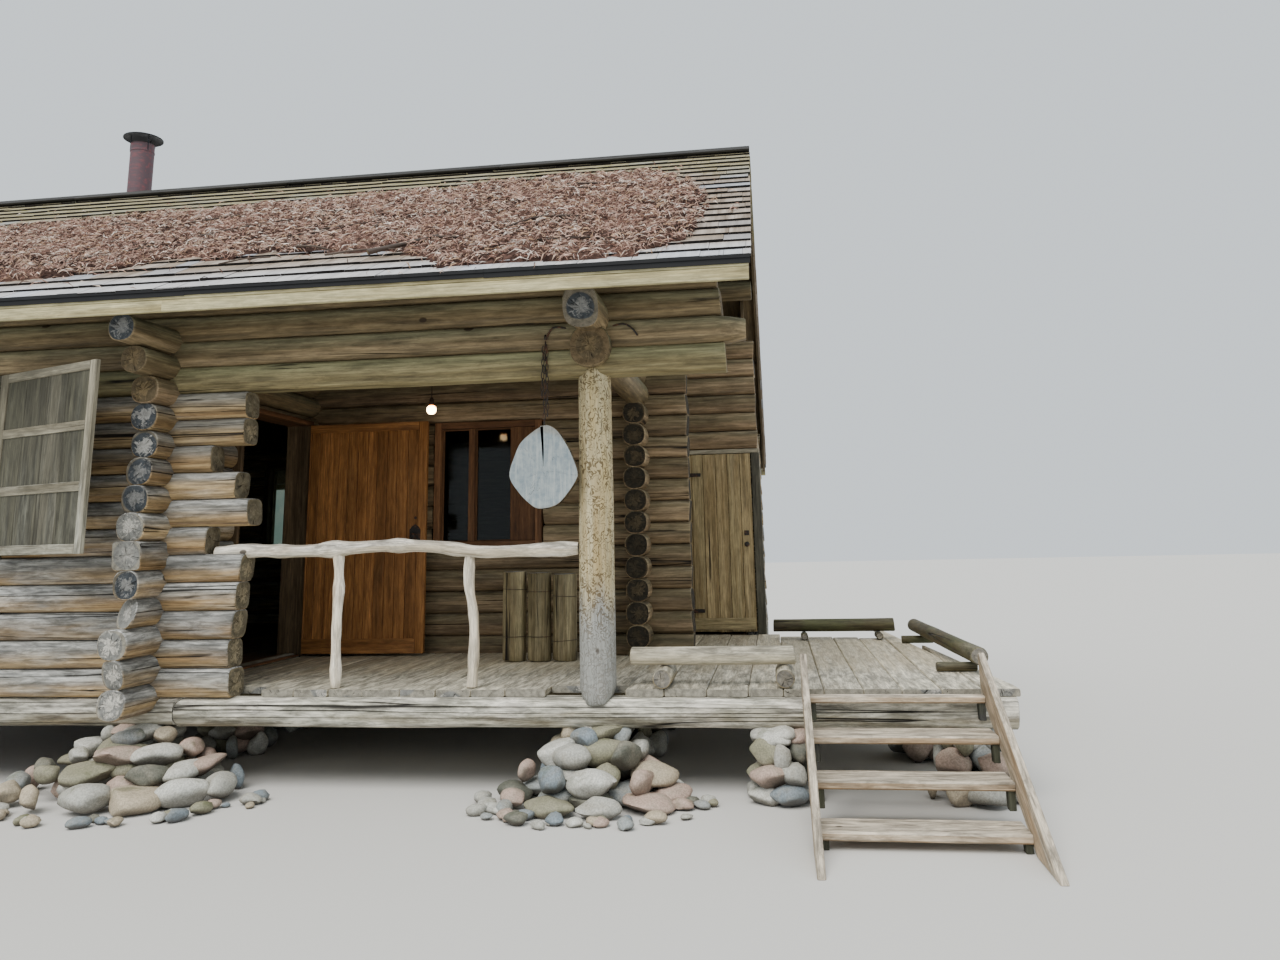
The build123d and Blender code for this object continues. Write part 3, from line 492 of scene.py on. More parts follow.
def new_group(name, outputs, **inputs):
    """A shader node group. Its inputs are numbers or vectors, its outputs are values."""
    tree = bpy.data.node_groups.new(name, "ShaderNodeTree")
    for label, value in inputs.items():
        kind = "NodeSocketVector" if isinstance(value, tuple) else "NodeSocketFloat"
        socket = tree.interface.new_socket(label, in_out="INPUT", socket_type=kind)
        socket.default_value = value
    for label in outputs:
        tree.interface.new_socket(label, in_out="OUTPUT", socket_type="NodeSocketFloat")
    sheet = Sheet(tree)
    target = sheet.put("NodeGroupOutput").inputs

    def give(**values):
        """Links values to the group's outputs."""
        for label, value in values.items():
            sheet.join(value, target[label])
    return tree, sheet, sheet.put("NodeGroupInput").outputs, give


print("node tools are ready")

# %% [markdown]
# Fibre: wood is a bundle of long thin tubes. A noise that is stretched along the pith gives the
# fine streaks, a wider one gives the broad bands of early and late wood, and a short one the
# mottle of old surfaces.

# %% Fibre group
fibre_group, s, g, out = new_group("wood_fibre", ("Fine", "Broad", "Bands", "Mottle"),
    Grain=(0, 0, 0), Fineness=1.0)
across, height = s.parts(g["Grain"])[1:]
wobble = s.noise(g["Grain"], (0.9, 5.0, 5.0), 2.0)
fine_place = s.vector("MULTIPLY", g["Grain"], (5.0, 110.0, 110.0))
fine_place = s.vector("SCALE", fine_place)
s.join(g["Fineness"], fine_place.node.inputs["Scale"])
fine = s.noise(fine_place, 1.0, 4.0, 0.68, 0.3)
broad = s.noise(g["Grain"], (0.7, 16.0, 16.0), 3.0, 0.55, 0.4)
radius = s.math("SQRT", s.plus(s.times(across, across), s.times(height, height)))
turned = s.plus(s.times(radius, 560.0), s.times(wobble, 26.0))
bands = s.plus(s.times(s.math("SINE", turned), 0.5), 0.5)
mottle = s.noise(g["Grain"], (5.0, 26.0, 26.0), 5.0, 0.72, 0.4)
out(Fine=fine, Broad=broad, Bands=bands, Mottle=mottle)

# %% [markdown]
# Checks: a log shrinks around its pith as it dries, and its surface splits in long thin cracks
# that follow the fibres. They are the thin lines where a stretched noise crosses its middle,
# kept only in some places.

# %% Checks group
check_group, s, g, out = new_group("drying_checks", ("Crack",), Grain=(0, 0, 0), Amount=0.5,
    Width=0.02, Spacing=14.0)
along, across, height = s.parts(g["Grain"])
place = s.whole(s.times(along, 0.20), s.times(across, g["Spacing"]), s.times(height, g["Spacing"]))
lines = s.math("ABSOLUTE", s.minus(s.noise(place, 1.0, 1.0, 0.35, 0.0), 0.5))
keep = s.noise(g["Grain"], (1.3, 9.0, 9.0), 3.0)
keep = s.between(keep, s.minus(0.75, s.times(g["Amount"], 0.5)),
    s.minus(0.85, s.times(g["Amount"], 0.5)))
width = s.times(g["Width"], keep)
out(Crack=s.times(s.between(lines, width, 0.0), keep))

# %% [markdown]
# Knots: where a branch left the stem, a dark oval core shows with a pale collar. Points strewn
# through the log are branch roots, and those near the surface show.

# %% Knots group
knot_group, s, g, out = new_group("wood_knots", ("Core", "Collar"), Grain=(0, 0, 0), Density=4.0,
    Share=0.4)
place = s.vector("MULTIPLY", g["Grain"], (0.62, 1.0, 1.0))
cell = s.cells(place, g["Density"])
size = s.times(s.parts(cell["Color"])[0], 0.05)
near = s.minus(s.math("DIVIDE", cell["Distance"], g["Density"]), s.times(size, 0.22))
kept = s.math("LESS_THAN", s.parts(cell["Color"])[1], g["Share"])
out(Core=s.times(s.between(near, 0.016, 0.009), kept))
out(Collar=s.times(s.between(near, 0.05, 0.014), kept))

# %% [markdown]
# Weather: sun and rain take the brown out of wood and leave it silver, first on faces that look
# up or stand out from under the roof. The mask reads the surface's own slope and its place in
# the cabin: low at the front is wet, high under the roof and deep in the porch is dry.

# %% Weather group
weather_group, s, g, out = new_group("weathering", ("Grey", "Stain", "Damp"), Grain=(0, 0, 0),
    Upward=0.6, Exposure=0.4)
geometry = s.put("ShaderNodeNewGeometry")
facing = s.parts(geometry.outputs["Normal"])[2]
position = s.place()
py, pz = s.parts(position)[1:]
dry_height = s.between(pz, 1.1, 2.5)
deep = s.between(py, 0.25, 1.3)
behind = s.between(py, 4.6, 5.3)
shelter = s.math("MAXIMUM", dry_height, s.times(deep, s.minus(1.0, behind)))
open_air = s.minus(1.0, s.times(shelter, 0.85))
patch = s.noise(g["Grain"], (1.1, 9.0, 9.0), 4.0, 0.6, 0.5)
up_mask = s.times(s.between(facing, -0.25, 0.75), g["Upward"])
base = s.times(g["Exposure"], open_air)
grey = s.plus(s.times(up_mask, s.plus(0.3, s.times(open_air, 0.8))), base)
grey = s.plus(grey, s.times(s.minus(patch, 0.5), 1.5))
out(Grey=s.between(grey, 0.15, 0.85))
stain = s.noise(g["Grain"], (0.8, 14.0, 14.0), 4.0, 0.6, 0.8)
out(Stain=s.between(stain, 0.56, 0.72))
damp = s.noise(position, (2.2, 2.2, 4.0), 4.0, 0.6)
damp = s.plus(damp, s.between(pz, 1.5, 0.2, 0.0, 0.35))
out(Damp=s.between(damp, 0.68, 0.85))

# %% [markdown]
# End grain: a sawn end shows the rings as circles around the pith, cracks that run out from it
# like a star, and patches where the grey skin has worn off. Everything is worked out from the
# stored distance across and up from the pith.

# %% End grain group
end_group, s, g, out = new_group("end_grain", ("Rings", "Crack", "Middle", "Rim", "Blotch"),
    Grain=(0, 0, 0), Radius=0.1, Cracks=0.5)
across, height = s.parts(g["Grain"])[1:]
flat = s.whole(across, height, 0.0)
radius = s.vector("LENGTH", flat)
turn_x = s.math("DIVIDE", across, s.plus(radius, 0.0001))
turn_y = s.math("DIVIDE", height, s.plus(radius, 0.0001))
seed = s.times(s.attribute("tone"), 37.0)
ring_wobble = s.noise(flat, (14.0, 14.0, 1.0), 2.0)
rings = s.math("SINE", s.plus(s.times(radius, 900.0), s.times(ring_wobble, 30.0)))
out(Rings=s.plus(s.times(rings, 0.5), 0.5))
star = s.noise(s.whole(s.times(turn_x, 1.9), s.times(turn_y, 1.9),
    s.plus(seed, s.times(radius, 2.0))), 1.0, 3.0, 0.6)
star_line = s.math("ABSOLUTE", s.minus(star, 0.5))
share = s.math("DIVIDE", radius, g["Radius"])
star_keep = s.noise(s.whole(turn_x, turn_y, s.plus(seed, 9.0)), 1.4, 1.0)
star_width = s.times(s.between(share, 1.1, 0.0, 0.15, 1.0), s.times(g["Cracks"], 0.045))
star_width = s.times(star_width, s.between(star_keep, 0.42, 0.56))
out(Crack=s.between(star_line, star_width, 0.0))
uneven = s.noise(s.whole(s.times(across, 24.0), s.times(height, 24.0), seed), 1.0, 5.0, 0.7, 0.6)
edge = s.plus(share, s.times(s.minus(uneven, 0.5), 3.4))
out(Middle=s.between(edge, 0.66, 0.30))
out(Rim=s.between(share, 0.84, 0.97))
out(Blotch=s.noise(s.whole(across, height, seed), (22.0, 22.0, 1.0), 4.0, 0.65))
print("shared wood effects", [t.name for t in bpy.data.node_groups])

# %% [markdown]
# A wood material mixes two base colours by fibre and by piece, then lays on knots, checks,
# grey weather, stains and damp, each with its own strength. The same function finishes every
# log and board, and its arguments say what differs: a beam is brown with knots, a sill is grey
# and cracked, a door is oiled and warm.

# %% Wood material for the long sides
finish = {}


def new_finish(name):
    """Puts a new material into the list of finishes. Returns its sheet and its shader."""
    finish[name] = bpy.data.materials.new(name)
    finish[name].use_nodes = True
    tree = finish[name].node_tree
    return Sheet(tree), tree.nodes["Principled BSDF"]


def cover(s, shader, body, rough, height, strength=0.9, distance=0.006, specular=0.25):
    """Gives the shader its colour, roughness and relief."""
    relief = s.put("ShaderNodeBump")
    s.set(relief, Strength=strength, Distance=distance, Height=height)
    s.set(shader, **{"Base Color": body, "Roughness": rough, "Specular IOR Level": specular,
        "Normal": relief.outputs[0]})


def wood(name, light, dark, other, silver, upward=0.6, exposure=0.4, checks=0.5, knots=0.35,
        knot_density=4.0, stain=0.5, damp=0.3, fineness=1.0, spacing=14.0, band=0.25, relief=1.0,
        gloss=0.62, stain_colour=(52, 50, 50), damp_colour=(84, 88, 58), crown=0.0,
        crown_colour=(120, 122, 96), streak=0.3):
    """Wood seen along the grain. light, dark and other are the base colours of different
    pieces, silver is its weathered colour. crown is how far a lying log's upper half greys, and
    streak how strongly its fibres differ from light to dark."""
    s, shader = new_finish(name)
    grain = s.attribute("grain", "Vector")
    tone = s.attribute("tone")
    fibre = s.group(fibre_group, Grain=grain, Fineness=fineness)
    crack = s.group(check_group, Grain=grain, Amount=checks, Spacing=spacing)["Crack"]
    knot = s.group(knot_group, Grain=grain, Density=knot_density, Share=knots)
    weather = s.group(weather_group, Grain=grain, Upward=upward, Exposure=exposure)
    body = s.mix(s.between(tone, 0.15, 0.85), light, other)
    body = s.mix(s.between(fibre["Broad"], 0.35, 0.68), body, dark)
    body = s.mix(s.times(fibre["Bands"], band), body, dark)
    body = s.mix(s.times(knot["Collar"], 0.55), body, dark)
    if crown:
        height = s.plus(s.parts(grain)[2], s.times(fibre["Broad"], 0.05))
        top = s.between(height, -0.01, 0.085, 0.0, crown)
        body = s.mix(top, body, crown_colour)
    skin = s.mix(s.between(fibre["Mottle"], 0.35, 0.65), [v * 0.74 for v in silver], silver)
    body = s.mix(s.times(weather["Grey"], 0.92), body, skin)
    body = s.mix(s.times(weather["Stain"], stain), body, stain_colour)
    body = s.mix(s.times(weather["Damp"], damp), body, damp_colour)
    shade = s.times(s.between(fibre["Fine"], 0.3, 0.7, 1 - streak, 1 + streak),
        s.between(fibre["Mottle"], 0.3, 0.7, 0.72, 1.24))
    shade = s.times(shade, s.between(s.math("FRACT", s.times(tone, 7.3)), 0.0, 1.0, 0.82, 1.14))
    body = s.shaded(body, shade)
    body = s.mix(s.times(knot["Core"], 0.85), body, (46, 34, 24))
    body = s.mix(crack, body, (24, 20, 17))
    high = s.plus(s.times(fibre["Fine"], 0.2), s.times(fibre["Broad"], 0.3))
    high = s.plus(high, s.times(fibre["Mottle"], 0.3))
    high = s.minus(high, s.times(crack, 1.5))
    high = s.plus(high, s.times(knot["Core"], 0.3))
    cover(s, shader, body, s.between(fibre["Fine"], 0.2, 0.8, gloss - 0.08, gloss + 0.2), high,
        0.9, 0.006 * relief, 0.25)


def wood_end(name, pale, skin, rim, radius=0.1, cracks=0.5, middle=0.8, relief=1.0):
    """Wood seen across the grain: pale where it is fresh, skin where it is weathered."""
    s, shader = new_finish(name)
    grain = s.attribute("grain", "Vector")
    tone = s.attribute("tone")
    end = s.group(end_group, Grain=grain, Radius=radius, Cracks=cracks)
    keep = s.between(s.math("FRACT", s.times(tone, 5.7)), 0.1, 0.8, 0.35, 1.0)
    body = s.mix(s.times(s.times(end["Middle"], keep), middle), skin, pale)
    body = s.mix(s.times(end["Rim"], 0.7), body, rim)
    body = s.mix(s.times(end["Rings"], 0.28), body, [v * 0.55 for v in skin])
    shade = s.between(end["Blotch"], 0.3, 0.7, 0.62, 1.25)
    body = s.shaded(body, shade)
    body = s.mix(end["Crack"], body, (18, 15, 13))
    high = s.minus(s.times(end["Rings"], 0.12), s.times(end["Crack"], 1.6))
    high = s.plus(high, s.times(end["Blotch"], 0.25))
    cover(s, shader, body, 0.85, high, 0.9, 0.006 * relief, 0.2)


# %% [markdown]
# The finishes of the wood, one for each kind of piece. Logs under the roof keep their tan, the
# front logs near the ground are silver with black streaks, and the beams have gone brown.

# %% Finishes of the wood
wood("front_log", (176, 158, 124), (124, 104, 76), (158, 138, 104), (150, 150, 144), upward=0.55,
    exposure=0.3, checks=0.75, knots=0.4, damp=0.2, stain_colour=(64, 66, 68), crown=0.55,
    crown_colour=(150, 146, 124), fineness=0.5, spacing=11.0, streak=0.42)
wood("stub_log", (182, 158, 118), (134, 108, 74), (168, 144, 106), (168, 168, 164), upward=0.75,
    exposure=0.35, checks=0.7, damp=0.08, stain_colour=(66, 68, 74), crown=0.85,
    crown_colour=(130, 130, 124), fineness=0.5, streak=0.42)
wood("wall_log", (162, 140, 110), (112, 94, 70), (142, 120, 94), (138, 134, 116), upward=0.5,
    exposure=0.12, knots=0.5, stain=0.45, crown=0.5, crown_colour=(120, 114, 88), fineness=0.5,
    streak=0.36)
wood("beam_log", (146, 128, 98), (102, 88, 64), (130, 114, 84), (128, 126, 104), upward=0.5,
    exposure=0.05, checks=0.3, knots=0.7, knot_density=4.6, stain=0.4, crown=0.7,
    crown_colour=(116, 116, 92), fineness=0.5, streak=0.36)
wood("low_beam_log", (158, 148, 112), (120, 108, 76), (148, 136, 100), (146, 146, 118), upward=0.4,
    exposure=0.05, checks=0.35, knots=0.6, knot_density=4.6, stain=0.3, damp=0.2, crown=0.6,
    crown_colour=(134, 136, 104), fineness=0.5, streak=0.34)
wood("sill_log", (158, 146, 118), (112, 98, 74), (142, 130, 104), (212, 208, 196), upward=0.8,
    exposure=0.55, checks=0.85, knots=0.3, stain=0.7, damp=0.25, spacing=16.0, relief=1.4,
    stain_colour=(72, 58, 48), fineness=0.45, streak=0.42)
wood_end("log_end", (186, 184, 178), (66, 70, 74), (134, 124, 104), cracks=0.35, middle=0.95)
wood_end("stub_end", (170, 156, 126), (112, 104, 86), (140, 128, 102), middle=0.9)
wood_end("dark_end", (120, 104, 78), (50, 46, 38), (96, 82, 60), middle=0.5, cracks=0.35)
wood_end("pale_end", (206, 202, 192), (126, 126, 122), (160, 154, 138), middle=1.0)
wood_end("brown_end", (142, 122, 88), (94, 82, 62), (118, 100, 74), middle=0.7)
wood("deck_board", (202, 192, 168), (168, 156, 132), (188, 178, 154), (202, 196, 178), upward=0.5,
    exposure=0.3, checks=0.2, knots=0.2, stain=0.16, damp=0.08, spacing=26.0, relief=0.6)
wood("gable_board", (112, 96, 70), (78, 66, 48), (98, 84, 60), (104, 98, 84), exposure=0.1,
    checks=0.2, knots=0.4)
wood("frame_wood", (112, 84, 56), (76, 54, 34), (96, 74, 50), (96, 86, 70), upward=0.2,
    exposure=0.0, checks=0.15, knots=0.2, stain=0.2, damp=0.0, relief=0.4)
wood("door_board", (190, 132, 78), (132, 88, 48), (162, 112, 64), (132, 108, 80), upward=0.0,
    exposure=0.0, checks=0.1, knots=0.3, stain=0.1, damp=0.0, relief=0.3, gloss=0.5, band=0.4)
# The shutter's boards are darkened to paint the shade they stand in; the store door frame and the
# front window frame share this finish.
wood("shutter_board_painted_shade", (104, 100, 86), (68, 66, 56), (88, 86, 72), (108, 108, 98), upward=0.3,
    exposure=0.5, checks=0.35, knots=0.25, stain=0.25, damp=0.12, spacing=30.0, relief=0.6)
wood("grey_board", (196, 174, 130), (142, 122, 86), (166, 150, 112), (150, 142, 122), upward=0.2,
    exposure=0.3, checks=0.45, knots=0.3, stain=0.25, damp=0.08, spacing=30.0, relief=0.6)
wood("shutter_frame", (148, 142, 124), (108, 102, 86), (132, 126, 108), (166, 166, 154),
    upward=0.3, exposure=0.5, checks=0.35, knots=0.2, stain=0.2, damp=0.08, spacing=30.0,
    relief=0.6)
wood("pale_board", (176, 170, 150), (144, 136, 116), (164, 156, 136), (176, 174, 160), upward=0.3,
    checks=0.3, knots=0.25, stain=0.15, damp=0.05, spacing=26.0, relief=0.5)
wood("roof_board", (188, 180, 142), (156, 144, 104), (178, 168, 128), (174, 172, 148), upward=0.3,
    exposure=0.1, checks=0.25, knots=0.25, stain=0.15, damp=0.15, relief=0.6)
wood("dark_board", (52, 50, 46), (34, 32, 30), (46, 44, 40), (70, 70, 68), checks=0.2, knots=0.1,
    relief=0.5)
wood("kerb_log", (194, 186, 164), (138, 122, 92), (170, 156, 124), (180, 174, 156), exposure=0.3,
    knots=0.3, stain=0.15, damp=0.1)
wood("old_kerb_log", (104, 94, 68), (66, 58, 42), (90, 84, 58), (112, 108, 88), checks=0.6,
    knots=0.3, damp=0.6)
print("wood finishes", len(finish))

# %% [markdown]
# The walls: every log is dressed at the place and length that the construction gives it. Logs
# along the front are flattened by the drawknife, so their section is squarer and the seams are
# thin and dark. Logs across have rounder ends. Each end is sawn with its own small slant. At the
# doorway corner the ends stand out one by one: some dark, some pale, one hewn square.

# %% Dress the log walls
def log_line(low, high):
    """Axis and end points of the log that fills a box."""
    size = high - low
    middle = (low + high) / 2
    if size[0] > size[1]:
        return "x", np.array([low[0], middle[1], middle[2]]), np.array([high[0], middle[1],
            middle[2]])
    return "y", np.array([middle[0], low[1], middle[2]]), np.array([middle[0], high[1], middle[2]])


def dress(stock, name, *finishes, sharp=38, beside=False):
    """Makes the mesh of a stock. Its node is the word before the dot: the piece rides on that
    node's body and stands for its solids, or only lies beside them."""
    node = name.split(".")[0]
    obj = stock.object(name, [finish[label] for label in finishes], sharp)
    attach(obj, node if node in frame["bodies"] else "cabin")
    if not beside:
        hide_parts(node)


def wall_log(stock, low, high, dice, step=0.13, squareness=None, around=24, grow=0.0,
        front_cut=None, end=END, tone=None):
    """One log of a wall. Its front or left end may have its own cut and finish."""
    axis, start, end_point = log_line(low, high)
    side = (0, 1, 0) if axis == "x" else (1, 0, 0)
    way = np.array([1, 0, 0]) if axis == "x" else np.array([0, 1, 0])
    square = squareness or (4.2 if axis == "x" else 2.5)
    line = straight(start + way * 0.012, end_point - way * 0.012, step)
    wander = 0.003 * np.sin(np.linspace(0, 5, len(line)) + dice.uniform(0, 6))
    line[:, 1 if axis == "x" else 0] += wander
    cuts = [(dice.uniform(-0.06, 0.06), dice.uniform(-0.10, 0.10)) for _ in range(2)]
    if front_cut:
        cuts[0] = front_cut
    outline = log_outline(0.0955 + grow, course / 2 + 0.001 + grow * 0.3, square, around)
    pith = (dice.uniform(-0.015, 0.015), dice.uniform(-0.015, 0.015))
    sweep(stock, line, side, (0, 0, 1), outline, dice, rough=0.005, swell=0.010, cuts=cuts,
        pith=pith, end=end, tone=tone)


PALE = 2
wall_finish = {"front_wall": ("stub_log", "stub_end", 0.12),
    "doorway_wall_front": ("stub_log", "log_end", 0.08),
    "doorway_wall_rear": ("wall_log", "dark_end", 0.16),
    "doorway_wall_head": ("wall_log", "brown_end", 0.14),
    "porch_back_wall": ("wall_log", "dark_end", 0.13),
    "right_wall": ("wall_log", "dark_end", 0.16), "left_wall": ("front_log", "log_end", 0.2),
    "rear_wall": ("front_log", "log_end", 0.2), "store_front_wall": ("wall_log", "dark_end", 0.14),
    "store_right_wall": ("front_log", "log_end", 0.18)}
# How single log ends at the doorway corner differ, by the height of the log in courses
corner_ends = {0: {"grow": 0.004, "end": PALE}, 1: {"grow": 0.006, "end": PALE,
    "front_cut": (0.35, 0.25)}, 2: {"grow": 0.010, "end": PALE, "front_cut": (0.05, 0.04)},
    3: {"front_cut": (0.55, -0.45), "end": PALE}, 4: {"grow": 0.002, "front_cut": (0.1, 0.05)},
    5: {"squareness": 7.0, "grow": 0.008, "end": PALE, "front_cut": (0.0, 0.08)},
    6: {"grow": 0.006, "end": PALE}, 10: {"squareness": 2.3}}
# The log over the entry door is cut out underneath for the head of the door frame
door_cut = (0.728, 1.888)
door_cut_z = 2.608
for wall, (side_finish, end_finish, step) in wall_finish.items():
    dice = random.Random(wall)
    stock = Stock()
    for low, high in every[wall]:
        own = {}
        if wall == "doorway_wall_front":
            own = corner_ends.get(round((low[2] - every[wall][0][0][2]) / course), {})
        if wall != "doorway_wall_head":
            wall_log(stock, low, high, dice, step, **own)
            continue
        for y0, y1 in ((low[1], door_cut[0] + 0.012), (door_cut[0] - 0.024, door_cut[1] + 0.024),
                (door_cut[1] - 0.012, high[1])):
            wall_log(stock, np.array([low[0], y0, low[2]]), np.array([high[0], y1, high[2]]), dice,
                step, tone=0.5)
            if low[1] < y0 < door_cut[0]:
                stock.points[-1][:, 2] = np.maximum(stock.points[-1][:, 2], door_cut_z)
    dress(stock, wall + ".logs", side_finish, end_finish, "pale_end")
    print(wall, len(every[wall]), "logs")

# %% [markdown]
# Both slopes are planes of one pitch. The walls, the tie logs and the gables are cut to them.

# %% Planes of the roof
roof_low, roof_high = box("front_roof_boards")
rear_high = box("rear_roof_boards")[1]
ridge_y = 2.2
eave_y = roof_low[1]
rear_eave_y = rear_high[1]
board_high = 0.0537
ridge_under = roof_high[2] - board_high
slope = (ridge_under - roof_low[2]) / (ridge_y - eave_y)
pitch = math.atan(slope)
roof_left, roof_right = roof_low[0], roof_high[0]


def under_roof(points, gap=0.004):
    """Hews points down to the underside of the roof where they would stand through it."""
    limit = ridge_under - np.abs(points[:, 1] - ridge_y) * slope - gap
    points[:, 2] = np.minimum(points[:, 2], limit)


print("roof pitch", round(math.degrees(pitch), 2))

# %% [markdown]
# The front beams are hewn nearly flat, and each ends in its own way: the lowest is sawn square,
# the next is cut to a blunt wedge. Over the post two tie logs come forward, the upper one hewn
# hollow underneath so that it sits on its neighbour.

# %% Beams and tie logs
LOW_BEAM = 2
dice = random.Random("beams")
stock = Stock()
for number, (low, high) in enumerate(every["porch_beams"]):
    axis, start, end_point = log_line(low, high)
    line = straight(start + (0.01, 0, 0), end_point - (0.01, 0, 0), 0.1)
    scale = np.ones(len(line))
    if number == 1:
        fade = (line[:, 0] - (high[0] - 0.22)) / 0.22
        scale = 1 - 0.32 * np.clip(fade, 0, 1) ** 1.4
    sweep(stock, line, (0, 1, 0), (0, 0, 1), log_outline(0.0965, course / 2 + 0.0015, 5.0, 28),
        dice, scale=scale, rough=0.004, swell=0.006, pith=(0.01, -0.01),
        cuts=((0.05, 0.05), (dice.uniform(-0.05, 0.1), dice.uniform(-0.12, 0.02))))
    if number == 0:
        lowest = len(stock.faces)
stock.finish[:lowest] = [LOW_BEAM if f == SIDE else f for f in stock.finish[:lowest]]
dress(stock, "porch_beams.logs", "beam_log", "brown_end", "low_beam_log")

BROWN_END = 2
stock = Stock()
for low, high in every["tie_logs"]:
    over_post = abs(low[0] + high[0]) < 0.1
    upper = high[2] > 3.0
    axis, start, end_point = log_line(low, high)
    line = straight(start + (0, 0.012, 0), end_point - (0, 0.012, 0), 0.06)
    across = (high[0] - low[0]) / 2 - 0.001
    tall = (high[2] - low[2]) / 2 - 0.001
    scale = np.ones(len(line))
    if over_post:
        scale = np.interp(line[:, 1], [-0.2, 0.05, 0.35], [1.0, 0.92, 0.74])
    sweep(stock, line, (1, 0, 0), (0, 0, 1), log_outline(across, tall, 2.3, 32), dice, scale=scale,
        rough=0.010, swell=0.006, cuts=((0.04, 0.30 if upper and over_post else 0.04), (0, 0)),
        end=END if upper else BROWN_END, tone=0.22 if upper else 0.6)
    under_roof(stock.points[-1])
    if over_post and upper:
        mesh_points = stock.points[-1]
        under = (low[2] + high[2]) / 2
        for point in mesh_points:
            if -0.47 < point[1] < -0.09 and point[2] < under:
                share = min(1.0, (point[1] + 0.47) / 0.1)
                point[2] += (under - 0.02 - point[2]) * 0.55 * share
dress(stock, "tie_logs.logs", "beam_log", "log_end", "brown_end")
print("beams", len(every["porch_beams"]), "tie logs", len(every["tie_logs"]))

# %% [markdown]
# Boards are sweeps too. One helper lays a plank between two corners with its fibres along the
# axis that the carpenter would choose. Long edges are worn round, ends are not quite square.

# %% Plank helper
AXES = {"x": ((1, 0, 0), (0, 1, 0), (0, 0, 1)), "y": ((0, 1, 0), (1, 0, 0), (0, 0, 1)),
    "z": ((0, 0, 1), (1, 0, 0), (0, 1, 0))}


def plank(stock, low, high, axis, dice, worn=0.004, step=0.5, skew=0.02, tone=None, cuts=None,
        chamfer=0.002, bow=0.0):
    """A board that fills the space between two corners, with its fibres along an axis."""
    low, high = np.array(low, float), np.array(high, float)
    way, side, up = (np.array(v) for v in AXES[axis])
    middle = (low + high) / 2
    reach = float((high - low) @ way) / 2
    line = straight(middle - way * reach, middle + way * reach, step)
    line = line + np.sin(np.linspace(0, math.pi, len(line)))[:, None] * up * bow
    outline = board_outline(float((high - low) @ side), float((high - low) @ up), worn)
    slants = cuts or [(dice.uniform(-skew, skew), 0) for _ in range(2)]
    pith = (dice.uniform(-0.12, 0.12), dice.choice((-1, 1)) * dice.uniform(0.03, 0.14))
    sweep(stock, line, side, up, outline, dice, tone=tone, cuts=slants, chamfer=chamfer, pith=pith)


# How a joiner's boards differ from a carpenter's: square ends and crisp edges
JOINED = {"worn": 0.003, "step": 0.3, "skew": 0}


def plank_row(edges, gap=0.004):
    """Pairs of sides for boards that lie next to each other between the edges."""
    return [(a + gap / 2, b - gap / 2) for a, b in zip(edges, edges[1:])]


def board_edges(start, end, width, dice, vary=0.12):
    """Edges of boards of about one width that fill the way from start to end."""
    count = max(1, round((end - start) / width))
    shares = np.cumsum([0] + [dice.uniform(1 - vary, 1 + vary) for _ in range(count)])
    return (start + (end - start) * shares / shares[-1]).tolist()


print("plank helper is ready")

# %% [markdown]
# The deck is laid of broad boards from front to back on the sills. They are bleached, their ends
# are cut by eye, and the right edge of the deck runs at a slant, so each board there is shorter.

# %% Deck, floors and ceiling
deck_low, deck_high = box("deck")
post_half = 0.119
wall_gap = 0.102
dice = random.Random("deck")
stock = Stock()
deck_corner = (2.51, 2.25, 2.96)
for x0, x1 in plank_row(board_edges(-2.896, deck_high[0] - 0.004, 0.232, dice)):
    middle = (x0 + x1) / 2
    front = 0.104 if x0 < -2.33 else deck_low[1] + dice.uniform(0.004, 0.02)
    if x0 < post_half + 0.005 and x1 > -post_half - 0.005:
        front = post_half + 0.006
    back = 2.006
    if middle > 0.444:
        back = 3.226 - (middle - 1.102) * 0.235 if middle > 1.19 else 3.412
    elif x1 > -0.1:
        back = 1.772
    top = deck_high[2] - dice.uniform(0.0, 0.004)
    if x1 > deck_corner[1]:
        right_edge = -0.05 + (deck_corner[0] - middle) / 0.26 * 3.01
        slant = -3.01 / 0.26
        plank(stock, (x0, front, deck_low[2]), (x1, min(right_edge, back), top), "y", dice,
            worn=0.007, step=9, cuts=((0.02, 0), (slant, 0)))
    elif back - front > 0.15:
        plank(stock, (x0, front, deck_low[2]), (x1, back - dice.uniform(0.002, 0.02), top), "y",
            dice, worn=0.007, step=0.4, skew=0.03)
    if middle > wall_gap and middle < 0.444:
        plank(stock, (max(x0, 0.104), 2.214, deck_low[2]), (x1, 3.41, top), "y", dice)
dress(stock, "deck.boards", "deck_board", "pale_end")

dice = random.Random("floor")
stock = Stock()
for x0, x1 in plank_row(board_edges(-6.326, -0.104, 0.2, dice)):
    front = 0.104 if x1 < -3.1 else 2.214
    if x1 > -3.1 and x0 < -2.898:
        front = 2.266
    plank(stock, (x0, front, deck_low[2]), (x1, 5.415, deck_high[2] - 0.002), "y", dice, step=2)
for x0, x1 in plank_row(board_edges(0.104, 0.796, 0.17, dice)):
    plank(stock, (x0, 3.442, deck_low[2]), (x1, 5.415, deck_high[2] - 0.002), "y", dice, step=2)
dress(stock, "room_floor.boards", "frame_wood", "dark_end")

low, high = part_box("porch_ceiling")
stock = Stock()
for y0, y1 in plank_row(board_edges(low[1], high[1], 0.2, dice)):
    plank(stock, (low[0], y0, low[2]), (high[0], y1, high[2]), "x", dice, step=1)
dress(stock, "porch_ceiling.boards", "gable_board", "dark_end")
print("deck, floor and ceiling are laid")

# %% [markdown]
# The roof's underside shows at the eave and at both verges. Its boards run down the slope, from
# the ridge over the purlins to the eave. A pale board closes their front ends, and a narrow
# brighter strip lies over it. Round purlins and the ridge log carry the boards.

# %% Roof boards, fascia, verge boards and purlins

def roof_normal(front=True):
    """The way out of a slope."""
    return np.array([0, (-1 if front else 1) * math.sin(pitch), math.cos(pitch)])


